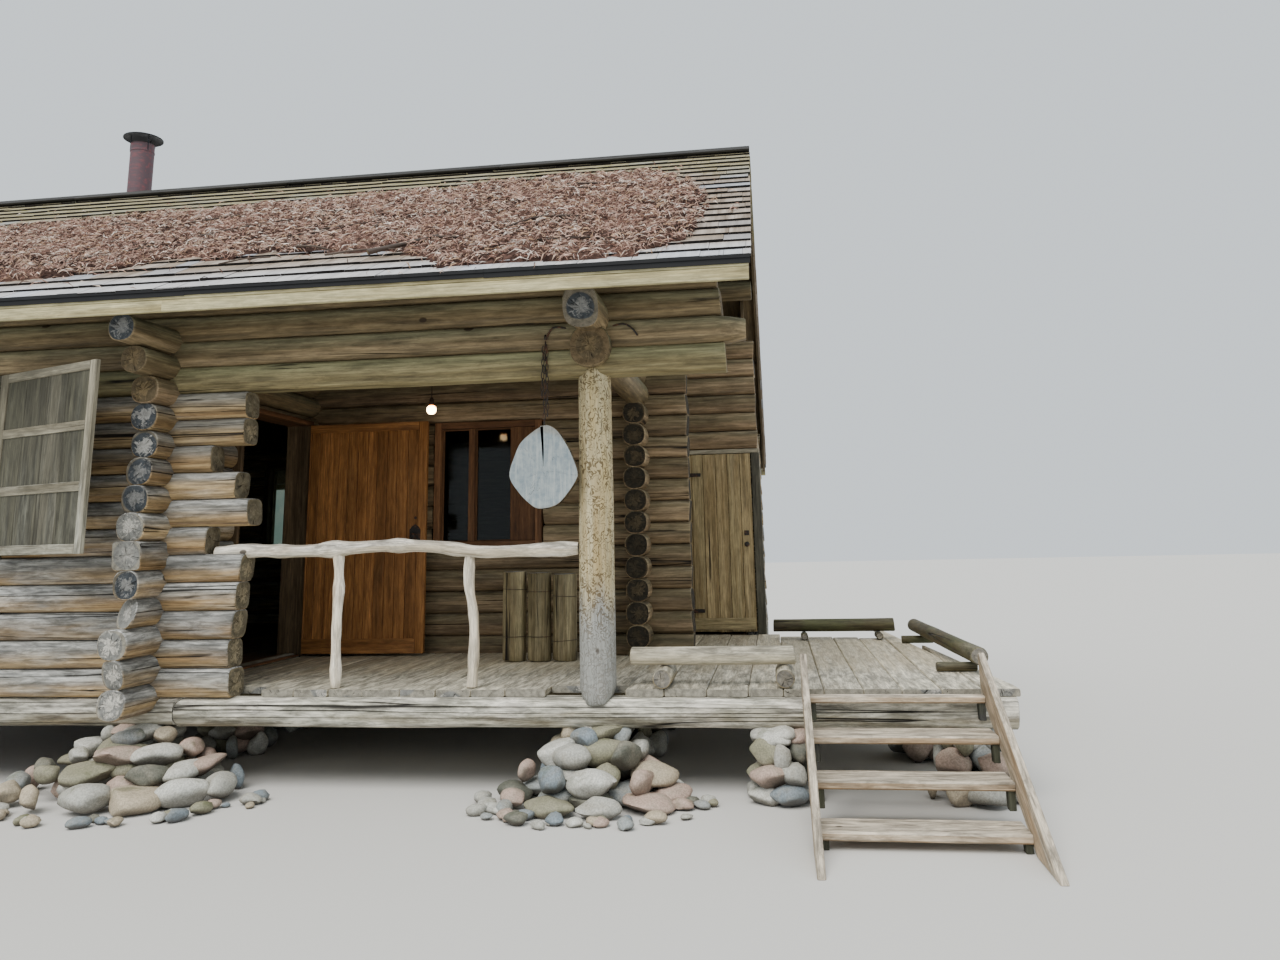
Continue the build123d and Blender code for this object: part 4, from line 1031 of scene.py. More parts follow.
def roof_place(down, over, x, front=True):
    """A point on the roof: down the slope from the ridge, over the boards' underside."""
    sign = -1 if front else 1
    y = ridge_y + sign * down * math.cos(pitch) + sign * over * math.sin(pitch)
    return np.array([x, y, ridge_under - down * math.sin(pitch) + over * math.cos(pitch)])


front_length = (ridge_y - eave_y) / math.cos(pitch)
rear_length = (rear_eave_y - ridge_y) / math.cos(pitch)
for name, is_front, length in (("front_roof_boards", True, front_length),
        ("rear_roof_boards", False, rear_length)):
    dice = random.Random(name)
    stock = Stock()
    normal = roof_normal(is_front)
    for x0, x1 in plank_row(board_edges(roof_left, roof_right, 0.18, dice), 0.003):
        start = roof_place(0.03, 0.0225, (x0 + x1) / 2, is_front)
        end = roof_place(length - 0.028, 0.0225, (x0 + x1) / 2, is_front)
        sweep(stock, straight(start, end, 1.0), (1, 0, 0), normal,
            board_outline(x1 - x0, 0.0445, 0.004), dice, pith=(0.03, 0.08))
    dress(stock, name + ".planks", "gable_board", "pale_end")

dice = random.Random("fascia")
stock = Stock()
for low, high in every["fascia_boards"]:
    cut = -2.64
    for x0, x1 in ((low[0], cut), (cut, high[0])):
        plank(stock, (x0, low[1], low[2]), (x1, high[1], high[2] - 0.028), "x", dice, step=0.25,
            worn=0.005, tone=0.35)
        plank(stock, (x0, low[1] + 0.002, high[2] - 0.026), (x1, high[1], high[2]), "x", dice,
            tone=0.02)
dress(stock, "fascia_boards.planks", "roof_board", "pale_end")

stock = Stock()
for is_front, length in ((True, front_length), (False, rear_length)):
    normal = roof_normal(is_front)
    for x in (roof_left + 0.015, roof_right - 0.015):
        start = roof_place(0.03, -0.04, x, is_front)
        end = roof_place(length - 0.06, -0.04, x, is_front)
        sweep(stock, straight(start, end, 0.5), (1, 0, 0), normal,
            board_outline(0.028, 0.07, 0.004), dice, pith=(0.03, 0.08))
dress(stock, "verge_boards.planks", "gable_board", "pale_end")

stock = Stock()
for low, high in every["purlins"]:
    axis, start, end = log_line(low, high)
    outline = log_outline(0.099, 0.099, 2.0, 22)
    sweep(stock, straight(start + np.array([0.01, 0, 0]), end - np.array([0.01, 0, 0]), 0.2),
        (0, 1, 0), (0, 0, 1), outline, dice, rough=0.006, swell=0.008)
dress(stock, "purlins.logs", "beam_log", "log_end")
print("front slope", round(front_length, 2), "m")

# %% [markdown]
# Shakes are split boards that overlap in straight rows about 168 mm apart. Their tops are
# bleached, and their thick butts are painted nearly black as the shadow under each row, which
# draws the dark lines of the roof. Each is one small wedge with its own width and lift. They are
# added as plain arrays, because thousands of them pass through here.

# %% Shakes
def shake_rows(name, length, is_front, hole=None):
    """All rows of one slope. hole is a place in plan and a radius that stays open."""
    dice = random.Random(name)
    stock = Stock()
    low, high = box(name)
    exposed = 0.168
    total = length - (0.012 if is_front else 0.022)
    rows = int(total / exposed)
    base_over = 0.0455
    lift = 0.0225
    for row in range(rows + 1):
        butt = total - row * exposed
        if butt < 0.1:
            continue
        x = low[0] + dice.uniform(0, 0.02)
        sag = [dice.uniform(-0.005, 0.005) for _ in range(12)]
        while x < high[0] - 0.03:
            width = min(dice.uniform(0.11, 0.27), high[0] - x)
            thick = dice.uniform(0.0195, 0.025)
            share = (x - low[0]) / (high[0] - low[0]) * 11
            reach = butt + float(np.interp(share, range(12), sag)) + dice.uniform(-0.003, 0.003)
            if row and dice.random() < 0.04:
                reach -= dice.uniform(0.01, 0.03)
            top = max(butt - exposed * 2.6, 0.02)
            gap = dice.uniform(0.001, 0.004)
            skew = dice.uniform(-0.002, 0.002)
            a, b = x, x + width - gap
            x += width
            if hole is not None:
                place = roof_place(reach, 0, (a + b) / 2, is_front)
                if abs(place[0] - hole[0]) < hole[2] + width / 2 and abs(place[1]
                        - hole[1]) < hole[2] + 0.07:
                    continue
            over = base_over + lift
            points = []
            for side_x, down, height in ((a, top, base_over + 0.001), (b, top, base_over + 0.001),
                    (b, reach + skew, over), (a, reach - skew, over), (a, top, base_over + 0.004),
                    (b, top, base_over + 0.004), (b, reach + skew, over + thick),
                    (a, reach - skew, over + thick)):
                points.append(roof_place(down, height, side_x, is_front))
            faces = [(0, 1, 2, 3), (7, 6, 5, 4), (0, 4, 5, 1), (1, 5, 6, 2), (2, 6, 7, 3),
                (3, 7, 4, 0)]
            if is_front:
                faces = [f[::-1] for f in faces]
            offset = dice.uniform(0, 40)
            grain = [(offset + (reach if n in (2, 3, 6, 7) else top), (b - a) * (n % 4 in (1, 2)),
                0.02 * (n > 3)) for n in range(8)]
            stock.add(points, faces, grain, dice.random(), [SIDE, SIDE, SIDE, SIDE, END, SIDE])
    return stock


def shake_wood():
    """Bleached shake tops: pinkish grey, olive with moss towards the ridge."""
    s, shader = new_finish("shake")
    grain = s.attribute("grain", "Vector")
    tone = s.attribute("tone")
    fibre = s.group(fibre_group, Grain=grain)
    crack = s.group(check_group, Grain=grain, Amount=0.4, Spacing=26.0)["Crack"]
    place = s.place()
    height = s.parts(place)[2]
    cloud = s.noise(place, (0.9, 1.6, 1.6), 4.0, 0.6)
    body = s.mix(s.between(tone, 0.1, 0.9), (178, 166, 154), (146, 132, 116))
    body = s.mix(s.between(fibre["Broad"], 0.35, 0.7), body, (132, 118, 104))
    body = s.mix(s.between(s.math("FRACT", s.times(tone, 9.1)), 0.75, 0.95), body, (158, 160, 166))
    olive = s.plus(s.between(height, 3.9, 4.75), s.times(s.minus(cloud, 0.5), 1.6))
    body = s.mix(s.between(olive, 0.35, 0.9, 0.0, 0.75), body, (142, 134, 98))
    moss = s.noise(place, 7.0, 4.0, 0.7)
    moss = s.times(s.between(moss, 0.58, 0.7), s.between(olive, 0.2, 0.9))
    body = s.mix(s.times(moss, 0.6), body, (106, 110, 44))
    low = s.times(s.between(height, 3.36, 3.22, 0.0, 0.6),
        s.math("LESS_THAN", s.parts(place)[1], ridge_y))
    body = s.mix(low, body, (204, 208, 214))
    shade = s.between(fibre["Mottle"], 0.3, 0.7, 0.84, 1.12)
    body = s.shaded(body, shade)
    body = s.mix(s.times(crack, 0.7), body, (40, 34, 30))
    cover(s, shader, body, s.between(fibre["Fine"], 0.2, 0.8, 0.6, 0.85),
        s.minus(s.times(fibre["Broad"], 0.3), crack), 0.8, 0.005, 0.25)


shake_wood()
# Butts: end grain painted nearly black, as the shadow that each row of shakes casts on the next.
wood_end("shake_butt_shadow", (46, 42, 40), (28, 26, 26), (36, 32, 30), radius=0.3, cracks=0.2)
flue_low, flue_high = box("flue")
flue_middle = (flue_low + flue_high) / 2
for name, is_front, length in (("front_shakes", True, front_length),
        ("rear_shakes", False, rear_length)):
    hole = None if is_front else (flue_middle[0], flue_middle[1], 0.13)
    stock = shake_rows(name, length, is_front, hole)
    dress(stock, name + ".shakes", "shake", "shake_butt_shadow", sharp=20)
    print(name, len(stock.points), "shakes")

# %% [markdown]
# A folded strip of black sheet lies under the first row and hangs over the pale board below it.
# It is a thin plank in front of the eave with a second step above, a little uneven in its height.

# %% Drip edges at the eaves and ridge boards
def sheet_metal(name, base, worn, rough):
    """Painted sheet with scuffed patches."""
    s, shader = new_finish(name)
    place = s.place()
    patch = s.noise(place, (3.0, 30.0, 30.0), 5.0, 0.65)
    body = s.mix(s.between(patch, 0.45, 0.75), base, worn)
    cover(s, shader, body, s.between(patch, 0.3, 0.7, rough, rough + 0.25), patch, 0.4, 0.003, 0.3)


sheet_metal("black_sheet", (13, 14, 17), (34, 36, 38), 0.5)
stock = Stock()
dice = random.Random("drip")
for sign, edge_y in ((-1, eave_y), (1, rear_eave_y)):
    underside = ridge_under - abs(edge_y - ridge_y) * slope
    low_edge = underside + 0.030
    for x0, x1 in plank_row(board_edges(roof_left - 0.012, roof_right + 0.012, 1.9, dice), 0.001):
        drop = dice.uniform(-0.004, 0.004)
        face = edge_y + sign * 0.026
        plank(stock, (x0, min(face, face + sign * 0.006), low_edge + drop),
            (x1, max(face, face + sign * 0.006), underside + 0.083), "x", dice, step=0.4,
            worn=0.001, skew=0)
        lip = edge_y + sign * 0.033
        plank(stock, (x0, min(lip, lip + sign * 0.005), underside + 0.060),
            (x1, max(lip, lip + sign * 0.005), underside + 0.084), "x", dice, step=0.4, worn=0.001,
            skew=0)
for x0, x1 in plank_row(board_edges(roof_left - 0.015, roof_right + 0.015, 2.1, dice), 0.002):
    before = len(stock.finish)
    for is_front in (True, False):
        sign = -1 if is_front else 1
        normal = roof_normal(is_front)
        start = roof_place(0.074, 0.098, x0, is_front)
        end_point = roof_place(0.074, 0.098, x1, is_front)
        across_way = np.array([0, sign * math.cos(pitch), -math.sin(pitch)])
        sweep(stock, straight(start, end_point, 0.5), across_way, normal,
            board_outline(0.135, 0.018, 0.003), dice)
        sweep(stock, straight(start - across_way * 0.024 - normal * 0.024, end_point - across_way
            * 0.024 - normal * 0.024, 0.5), across_way, normal, board_outline(0.085, 0.032, 0.003),
            dice)
    edge = roof_place(0.004, 0.098, x0)
    plank(stock, (x0, edge[1], edge[2] - 0.022), (x1, 2 * ridge_y - edge[1], edge[2] + 0.006), "x",
        dice)
    stock.finish[before:] = [END] * (len(stock.finish) - before)
dress(stock, "front_shakes.edges", "black_sheet", "dark_board", beside=True)
print("drip edges and ridge boards", len(stock.points))

# %% [markdown]
# The trees above have shed a thick mat of dry needles and small twigs on the front slope. Its
# outline is given as two edges down the slope for places along the cabin. A lumpy sheet closes
# the mat, painted nearly black as the shade between needles, and thousands of curved needles
# stand out of it, sparse beyond its edges.

# %% Needle litter and twigs
mat_upper = [(-7.42, 1.35), (-5.5, 1.26), (-4.6, 1.22), (-3.7, 1.18), (-2.8, 1.10), (-1.95, 0.98),
    (-1.07, 0.90), (-0.55, 0.76), (0.2, 0.85), (0.5, 1.1), (0.7, 1.6), (0.78, 2.2)]
mat_lower = [(-7.42, 3.05), (-5.5, 3.1), (-4.2, 3.02), (-3.5, 2.92), (-2.9, 2.74), (-2.2, 2.76),
    (-1.45, 2.84), (-1.1, 3.0), (-0.86, 3.33), (-0.5, 3.32), (0.15, 3.33), (0.4, 3.30),
    (0.66, 3.05), (0.78, 2.3)]
shake_face = 0.092


def mat_depth(x, down):
    """How far a place lies inside the mat, in metres, with a ragged edge."""
    upper = np.interp(x, *zip(*mat_upper))
    lower = np.interp(x, *zip(*mat_lower))
    ragged = noise.noise((x * 3.1, down * 3.1, 0.0)) * 0.16 + noise.noise((x * 11.0, down * 11.0,
        4.0)) * 0.08
    side = min((0.72 - x) * 0.6 + ragged, (x + 7.44) * 0.9)
    return min(down - upper, lower - down, side) + ragged


def mat_lump(x, down):
    """How far the mat's lumps stand up at a place."""
    coarse = noise.noise((x * 7, down * 9, 2.0)) * 0.016
    return max(coarse + noise.noise((x * 22, down * 26, 7.0)) * 0.014, -0.012)


def clump_tone(x, down, dice):
    """Needles lie in clumps, so their shade follows the place as well as chance."""
    clump = noise.noise((x * 17, down * 21, 11.0)) * 0.8
    return min(max(0.5 + clump + dice.uniform(-0.5, 0.5), 0.0), 1.0)


def litter_finish():
    """Dry needles in many pinkish browns, with painted shade: a dark sheet below and a strong
    mottle.
    """
    s, shader = new_finish("litter")
    tone = s.attribute("tone")
    place = s.place()
    cloud = s.noise(place, 2.4, 4.0, 0.6)
    small = s.noise(s.vector("MULTIPLY", place, (1.0, 1.6, 1.6)), 26.0, 5.0, 0.8)
    shades = s.ramp(tone, [(0.0, (48, 34, 30)), (0.2, (116, 86, 74)), (0.42, (186, 152, 138)),
        (0.66, (216, 186, 170)), (0.84, (190, 156, 124)), (1.0, (244, 230, 218))])
    body = s.mix(s.between(cloud, 0.35, 0.7, 0.0, 0.3), shades, (164, 126, 112))
    # Painted shade: a strong small mottle darkens and lightens the needles like the gaps and clumps
    # between them.
    shade = s.between(small, 0.37, 0.63, 0.34, 1.5)
    body = s.shaded(body, shade)
    cover(s, shader, body, 0.9, small, 0.9, 0.012, 0.15)


def needle(stock, place, way, side, up, length, thick, tone):
    """One dry curved needle: a thin spindle with three sides and a bend in the middle."""
    bend = up * length * 0.18
    middle = place + bend
    ring = [middle + thick * (math.cos(a) * side + math.sin(a) * up) for a in (1.57, 3.67, 5.76)]
    points = [place - way * length / 2] + ring + [place + way * length / 2]
    faces = [(0, 2, 1), (0, 3, 2), (0, 1, 3), (4, 1, 2), (4, 2, 3), (4, 3, 1)]
    stock.add(points, faces, points, tone)


litter_finish()
dice = random.Random("litter")
normal = roof_normal()
down_way = np.array([0, -math.cos(pitch), -math.sin(pitch)])
stock = Stock()
cell = 0.045
columns = np.arange(-7.44, 0.80, cell)
lines_down = np.arange(0.6, 3.45, cell)
index = {}
points = []
for i, x in enumerate(columns):
    for j, down in enumerate(lines_down):
        depth = mat_depth(x, down)
        if depth < -cell:
            continue
        lump = mat_lump(x, down)
        rise = min(max(depth, 0.0) * 0.16, 0.018) + lump - (0.014 if depth < 0.01 else 0)
        index[i, j] = len(points)
        points.append(roof_place(down, shake_face + rise, x))
under = len(points)
points += [p - normal * 0.045 for p in points]
faces = []
edges_used = {}
for (i, j), n in index.items():
    corners = [(i, j), (i + 1, j), (i + 1, j + 1), (i, j + 1)]
    if all(c in index for c in corners):
        a, b, c, d = (index[c] for c in corners)
        faces.append((a, d, c, b))
        faces.append((a + under, b + under, c + under, d + under))
        for e in ((a, b), (b, c), (c, d), (d, a)):
            edges_used[e] = edges_used.get(e, 0) + 1
for a, b in list(edges_used):
    if (b, a) not in edges_used:
        faces.append((a, b, b + under, a + under))
used = sorted({v for f in faces for v in f})
fresh = {v: n for n, v in enumerate(used)}
# The sheet takes the darkest tone, nearly black: painted shade in the gaps between needles.
stock.add([points[v] for v in used], [tuple(fresh[v] for v in f) for f in faces],
    [points[v] for v in used], 0.02)
dress(stock, "front_shakes.mat", "litter", sharp=80, beside=True)
print("mat faces", len(faces))

stock = Stock()
placed = 0
while placed < 27000:
    x = dice.uniform(-7.44, 0.98)
    down = dice.uniform(0.5, 3.47)
    depth = mat_depth(x, down)
    if depth < 0 and dice.random() > 0.10 * math.exp(depth / 0.16):
        continue
    turn = dice.uniform(0, math.pi)
    lift = dice.gauss(0.05, 0.38)
    along = Vector((math.cos(turn), 0, 0)) + Vector(down_way * math.sin(turn))
    way = np.array(along) * math.cos(lift) + normal * math.sin(lift)
    side = np.cross(way, normal)
    side /= np.linalg.norm(side)
    rise = shake_face + min(max(depth, 0.0) * 0.16, 0.018) + mat_lump(x,
        down) + dice.uniform(-0.002, 0.010)
    rise = shake_face + 0.003 if depth < 0 else rise
    needle(stock, roof_place(down, rise, x), way, side, np.cross(side, way),
        dice.uniform(0.040, 0.130), dice.uniform(0.0024, 0.0056), clump_tone(x, down, dice))
    placed += 1
dress(stock, "front_shakes.needles", "litter", sharp=80, beside=True)
print("needles", placed)

# %% [markdown]
# Stones: the cabin stands on heaps of river stones laid without mortar. A river stone is a ball
# worn flat on a few sides. So each starts as a sphere of small triangles, is pressed flat against
# a few random planes, stretched, and roughened by a slow noise.

# %% River stones
def unit_sphere(divisions):
    """Points and triangles of a sphere made of small triangles."""
    ball = bmesh.new()
    bmesh.ops.create_icosphere(ball, subdivisions=divisions, radius=1.0)
    points = np.array([v.co[:] for v in ball.verts])
    faces = [tuple(v.index for v in f.verts) for f in ball.faces]
    ball.free()
    return points, faces


round_ball = unit_sphere(3)
plain_ball = unit_sphere(2)


def stone(stock, place, size, dice, turn=None, ball=plain_ball):
    """One worn stone, lying on its flattest side."""
    points, sphere_faces = ball[0].copy(), ball[1]
    for _ in range(dice.randint(5, 9)):
        way = np.array([dice.gauss(0, 1) for _ in range(3)])
        way /= np.linalg.norm(way)
        limit = dice.uniform(0.55, 0.85)
        reach = points @ way
        points -= np.outer(np.maximum(reach - limit, 0) * 0.8, way)
    phase = [dice.uniform(0, 6.3) for _ in range(6)]
    swell = 1 + 0.05 * np.sin(points[:, 0] * 3 + phase[0]) * np.sin(points[:, 1] * 3.4 + phase[1])
    swell += 0.035 * np.sin(points[:, 2] * 6 + phase[2]) * np.sin(points[:, 0] * 5 + phase[3])
    points = points * swell[:, None] * np.asarray(size)
    angle = dice.uniform(0, math.pi) if turn is None else turn
    tilt = dice.uniform(-0.25, 0.25)
    spin = Matrix.Rotation(angle, 3, "Z") @ Matrix.Rotation(tilt, 3, "X")
    offset = np.array([dice.uniform(0, 30) for _ in range(3)])
    laid = points @ np.array(spin).T + np.asarray(place)
    laid[:, 2] = np.maximum(laid[:, 2], 0.002)
    stock.add(laid, sphere_faces, points + offset, dice.random())


def rubble(stock, middle, foot, top, height, dice, size=(0.10, 0.17), forward=0.0, loose=0):
    """A heap of stones whose outline narrows from its foot to its top, laid in courses, with
    loose ones around its foot."""
    z = 0.0
    while z < height - 0.03:
        thick = min(dice.uniform(0.052, 0.092), (height - z) / 2 + 0.010)
        share = min(1.0, (z + thick * 0.5) / height)
        half_x = (foot[0] * (1 - share) + top * share) / 2
        half_y = (foot[1] * (1 - share) + top * share) / 2
        shift = -forward * (1 - share)
        for ring in (1.0, 0.5):
            around = 2 * math.pi * (half_x + half_y) / 2 * ring
            count = max(3, round(around / (size[0] + size[1]) * 0.90))
            start = dice.uniform(0, 1)
            for n in range(count):
                angle = 2 * math.pi * (n + start + dice.uniform(-0.25, 0.25)) / count
                scale = dice.uniform(size[0], size[1]) * (1.0 if z < 0.2 else 0.85)
                scale *= 0.6 if dice.random() < 0.25 else 1.0
                reach_x = max(half_x - scale * 0.7, 0.02) * ring
                reach_y = max(half_y - scale * 0.7, 0.02) * ring
                in_sight = ring == 1.0 and scale > 0.075
                stone(stock, (middle[0] + reach_x * math.cos(angle), middle[1] + shift + reach_y
                    * math.sin(angle), z + thick + dice.uniform(-0.01, 0.012)),
                    (scale, scale * dice.uniform(0.55, 0.9), thick * dice.uniform(0.95, 1.25)),
                    dice, turn=angle + math.pi / 2 + dice.uniform(-0.6, 0.6), ball=round_ball
                    if in_sight else plain_ball)
        z += thick * 1.5
    for _ in range(loose):
        angle = dice.uniform(math.pi * 1.0, math.pi * 2.0)
        scale = dice.uniform(0.03, 0.085)
        away = dice.uniform(0.95, 1.22)
        stone(stock, (middle[0] + foot[0] / 2 * away * math.cos(angle), middle[1] - forward
            + foot[1] / 2 * away * math.sin(angle), scale * 0.42),
            (scale, scale * 0.75, scale * 0.5), dice)


def stone_finish():
    """River stones of several kinds: grey, blue-grey, pinkish, olive and dark, each speckled."""
    s, shader = new_finish("river_stone")
    place = s.attribute("grain", "Vector")
    tone = s.attribute("tone")
    kinds = s.ramp(tone, [(0.0, (176, 176, 168)), (0.16, (148, 154, 154)), (0.30, (202, 202, 194)),
        (0.46, (122, 134, 142)), (0.58, (182, 168, 144)), (0.70, (138, 136, 112)),
        (0.80, (182, 158, 144)), (0.92, (92, 94, 84))], "CONSTANT")
    cloud = s.noise(place, 9.0, 5.0, 0.6, 0.6)
    speck = s.noise(place, 90.0, 3.0, 0.7)
    moss = s.noise(place, 5.0, 4.0, 0.65)
    normal = s.put("ShaderNodeNewGeometry").outputs["Normal"]
    upward = s.parts(normal)[2]
    body = s.mix(s.between(cloud, 0.35, 0.75, 0.0, 0.6), kinds, (148, 142, 126))
    shade = s.between(speck, 0.3, 0.7, 0.72, 1.2)
    body = s.shaded(body, shade)
    green = s.times(s.between(moss, 0.56, 0.68), s.between(upward, 0.0, 0.9, 0.1, 0.5))
    body = s.mix(green, body, (74, 82, 44))
    # Painted shade: faces that look down are darkened towards dark brown, as the shade under each
    # stone.
    low = s.between(upward, -0.9, 0.2, 0.75, 0.0)
    body = s.mix(low, body, (58, 48, 38))
    cover(s, shader, body, s.between(cloud, 0.3, 0.7, 0.6, 0.85),
        s.plus(s.times(speck, 0.3), cloud), 0.6, 0.006, 0.5)


stone_finish()
dice = random.Random("stones")
stock = Stock()
sill_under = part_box("sill_logs")[0][2]
for low, high in every["stone_piers"]:
    foot = high - low
    middle = (low + high) / 2
    top = 0.33
    wide = foot[0] > 0.7
    forward = 0.0
    if wide:
        forward = -(low[1] + high[1]) / 2
    rubble(stock, (middle[0], middle[1] + forward), (foot[0] * 1.04, foot[1] * 1.0), top,
        sill_under, dice, size=(0.10, 0.19) if wide else (0.09, 0.14), forward=forward, loose=34
        if wide else 0)
dress(stock, "stone_piers.stones", "river_stone", sharp=60)
print("stones", len(stock.points), "triangles", len(stock.faces))

# %% [markdown]
# The porch post is a stripped tree. Bark beetles have cut winding galleries into its surface all
# over, it has long drying cracks, and its foot has gone blue-grey from splashed rain. The
# galleries are the thin lines where a twisted noise crosses its middle: they darken the colour
# and sink the surface. The foot is cut to a blunt wedge that sits on the sill.

# %% Post finish and post
gallery_group, s, g, out = new_group("beetle_galleries", ("Groove",), Place=(0, 0, 0), Scale=26.0,
    Width=0.075)
bend = s.noise(g["Place"], 9.0, 2.0, 0.5)
first = s.noise(g["Place"], g["Scale"], 1.0, 0.4, 1.7)
line = s.math("ABSOLUTE", s.minus(first, 0.5))
width = s.times(g["Width"], s.between(bend, 0.36, 0.62, 0.25, 1.0))
out(Groove=s.between(line, width, s.times(width, 0.35)))


def post_wood():
    """Stripped trunk with beetle galleries, blue-grey towards its foot."""
    s, shader = new_finish("post_wood")
    grain = s.attribute("grain", "Vector")
    place = s.vector("MULTIPLY", grain, (0.72, 1.0, 1.0))
    fibre = s.group(fibre_group, Grain=grain)
    crack = s.group(check_group, Grain=grain, Amount=0.35, Spacing=16.0)["Crack"]
    knot = s.group(knot_group, Grain=grain, Density=4.0, Share=0.4)
    groove = s.group(gallery_group, Place=place)["Groove"]
    object_place = s.place()
    height = s.parts(object_place)[2]
    patch = s.noise(grain, (1.0, 9.0, 9.0), 4.0, 0.6)
    body = s.mix(s.between(fibre["Broad"], 0.35, 0.7), (200, 188, 152), (170, 150, 108))
    body = s.mix(s.between(patch, 0.5, 0.75), body, (190, 170, 122))
    foot = s.plus(s.between(height, 1.75, 0.75), s.times(s.minus(patch, 0.5), 1.1))
    body = s.mix(s.between(foot, 0.35, 0.85, 0.0, 0.92), body, (150, 152, 150))
    shade = s.between(fibre["Fine"], 0.25, 0.75, 0.76, 1.16)
    body = s.shaded(body, shade)
    fade = s.between(height, 0.75, 1.2, 0.3, 0.85)
    body = s.mix(s.times(groove, fade), body, (92, 76, 50))
    body = s.mix(s.times(knot["Core"], 0.8), body, (58, 42, 28))
    body = s.mix(crack, body, (26, 22, 18))
    high = s.minus(s.times(fibre["Broad"], 0.25), s.times(groove, 0.5))
    high = s.minus(high, s.times(crack, 1.5))
    cover(s, shader, body, 0.72, high, 0.9, 0.006, 0.25)


post_wood()
low, high = box("porch_post")
dice = random.Random("post")
stock = Stock()
post_line = straight((0, 0, low[2] + 0.001), (0, 0, high[2] - 0.002), 0.05)
rise = np.linspace(0, 1, len(post_line))
post_scale = 1 - 0.09 * rise
sweep(stock, post_line, (1, 0, 0), (0, 1, 0), log_outline(0.1165, 0.1165, 2.0, 40), dice,
    scale=post_scale, rough=0.006, swell=0.008, pith=(0.01, 0.0), chamfer=0.012)
foot_high = 0.085
points = stock.points[0]
for point in points:
    if point[2] < low[2] + foot_high:
        room = 0.052 + (point[2] - low[2]) / foot_high * 0.067
        point[0] = max(-room, min(room, point[0]))
    over = point[2] - (high[2] - 0.065)
    if over > 0:
        point[0] *= math.sqrt(max(0.06, 1 - (over / 0.070) ** 2))
dress(stock, "porch_post.trunk", "post_wood", "log_end", sharp=50)
print("post from", round(low[2], 3), "to", round(high[2], 3))

# %% [markdown]
# The rail is one crooked debarked sapling, nearly white, notched over two others that stand on
# the deck. A sapling is a thin sweep along a wavering line, swollen where branches stood.

# %% Rail and its two posts
def sapling(stock, points, radius, dice, knots=7, taper=0.0):
    """A thin debarked trunk with swollen knots along it."""
    line = curved(points, 0.035)
    count = len(line)
    ways = np.gradient(line, axis=0)
    ways /= np.linalg.norm(ways, axis=1)[:, None]
    aside = np.array([0.0, 1.0, 0.0])
    ups = np.cross(ways, aside)
    ups /= np.linalg.norm(ups, axis=1)[:, None]
    sides = np.cross(ups, ways)
    share = np.linspace(0, 1, count)
    scale = 1 - taper * share
    for _ in range(knots):
        at = dice.random()
        scale = scale + dice.uniform(0.08, 0.2) * np.exp(-((share - at) * count / 1.6) ** 2)
    sweep(stock, line, sides, ups, log_outline(radius, radius, 2.0, 14), dice, scale=scale,
        rough=0.035, swell=0.04, chamfer=0.004)


low, high = box("porch_rail")
dice = random.Random("rail")
stock = Stock()
rail_z = 1.516
rail_start = low[0] + 0.006
sapling(stock, [(rail_start, -0.006, rail_z - 0.034), (-2.36, 0.004, rail_z - 0.026),
    (-2.12, 0.01, rail_z - 0.034), (-1.93, 0.008, rail_z - 0.034), (-1.66, 0.0, rail_z - 0.022),
    (-1.36, 0.0, rail_z - 0.010), (-1.08, -0.004, rail_z - 0.022), (-0.9, -0.008, rail_z - 0.046),
    (-0.72, -0.006, rail_z - 0.064), (-0.45, -0.004, rail_z - 0.060),
    (-0.118, 0.0, rail_z - 0.052)], 0.0385, dice, knots=14)
deck_top = 0.61
for foot_x, foot_y, lean in ((-1.734, 0.03, 0.014), (-0.827, 0.045, -0.038)):
    sapling(stock, [(foot_x, foot_y, deck_top + 0.001),
        (foot_x - lean * 0.4, foot_y - 0.004, 0.93), (foot_x - lean * 0.1, foot_y - 0.01, 1.1),
        (foot_x + lean * 0.5, foot_y - 0.018, 1.25), (foot_x + lean * 0.2, 0.0, rail_z - 0.055)],
        0.0310, dice, knots=9, taper=0.08)
wood("sapling_skin", (240, 232, 214), (208, 194, 168), (232, 222, 202), (236, 230, 218),
    upward=0.4, exposure=0.3, checks=0.12, knots=0.75, knot_density=9.0, stain=0.4, damp=0.0,
    relief=0.5, stain_colour=(150, 116, 86))
dress(stock, "porch_rail.saplings", "sapling_skin", "pale_end")
print("rail points", len(stock.points))

# %% [markdown]
# The sills carry everything. The front one shows most: it is two logs joined by a slanting
# lap near the doorway, checked all along, with scraps of dark bark left on it.

# %% Sills and kerb logs
dice = random.Random("sills")
stock = Stock()
lap_x = -2.72
for low, high in every["sill_logs"]:
    front_sill = high[1] < 0.2 and high[0] - low[0] > 3
    if front_sill:
        z = (low[2] + high[2]) / 2
        for start, end in ((low[0] + 0.012, lap_x + 0.02), (lap_x + 0.028, high[0] - 0.01)):
            sweep(stock, straight((start, 0, z), (end, 0, z), 0.08), (0, 1, 0), (0, 0, 1),
                log_outline(0.0965, course / 2 + 0.001, 2.7, 26), dice, rough=0.012, swell=0.012,
                cuts=((0.9, 0.0), (0.9, 0.0)) if end < 0 else ((-0.9, 0.0), (0.05, 0.05)))
    else:
        wall_log(stock, low, high, dice, 0.16)
dress(stock, "sill_logs.logs", "sill_log", "log_end")

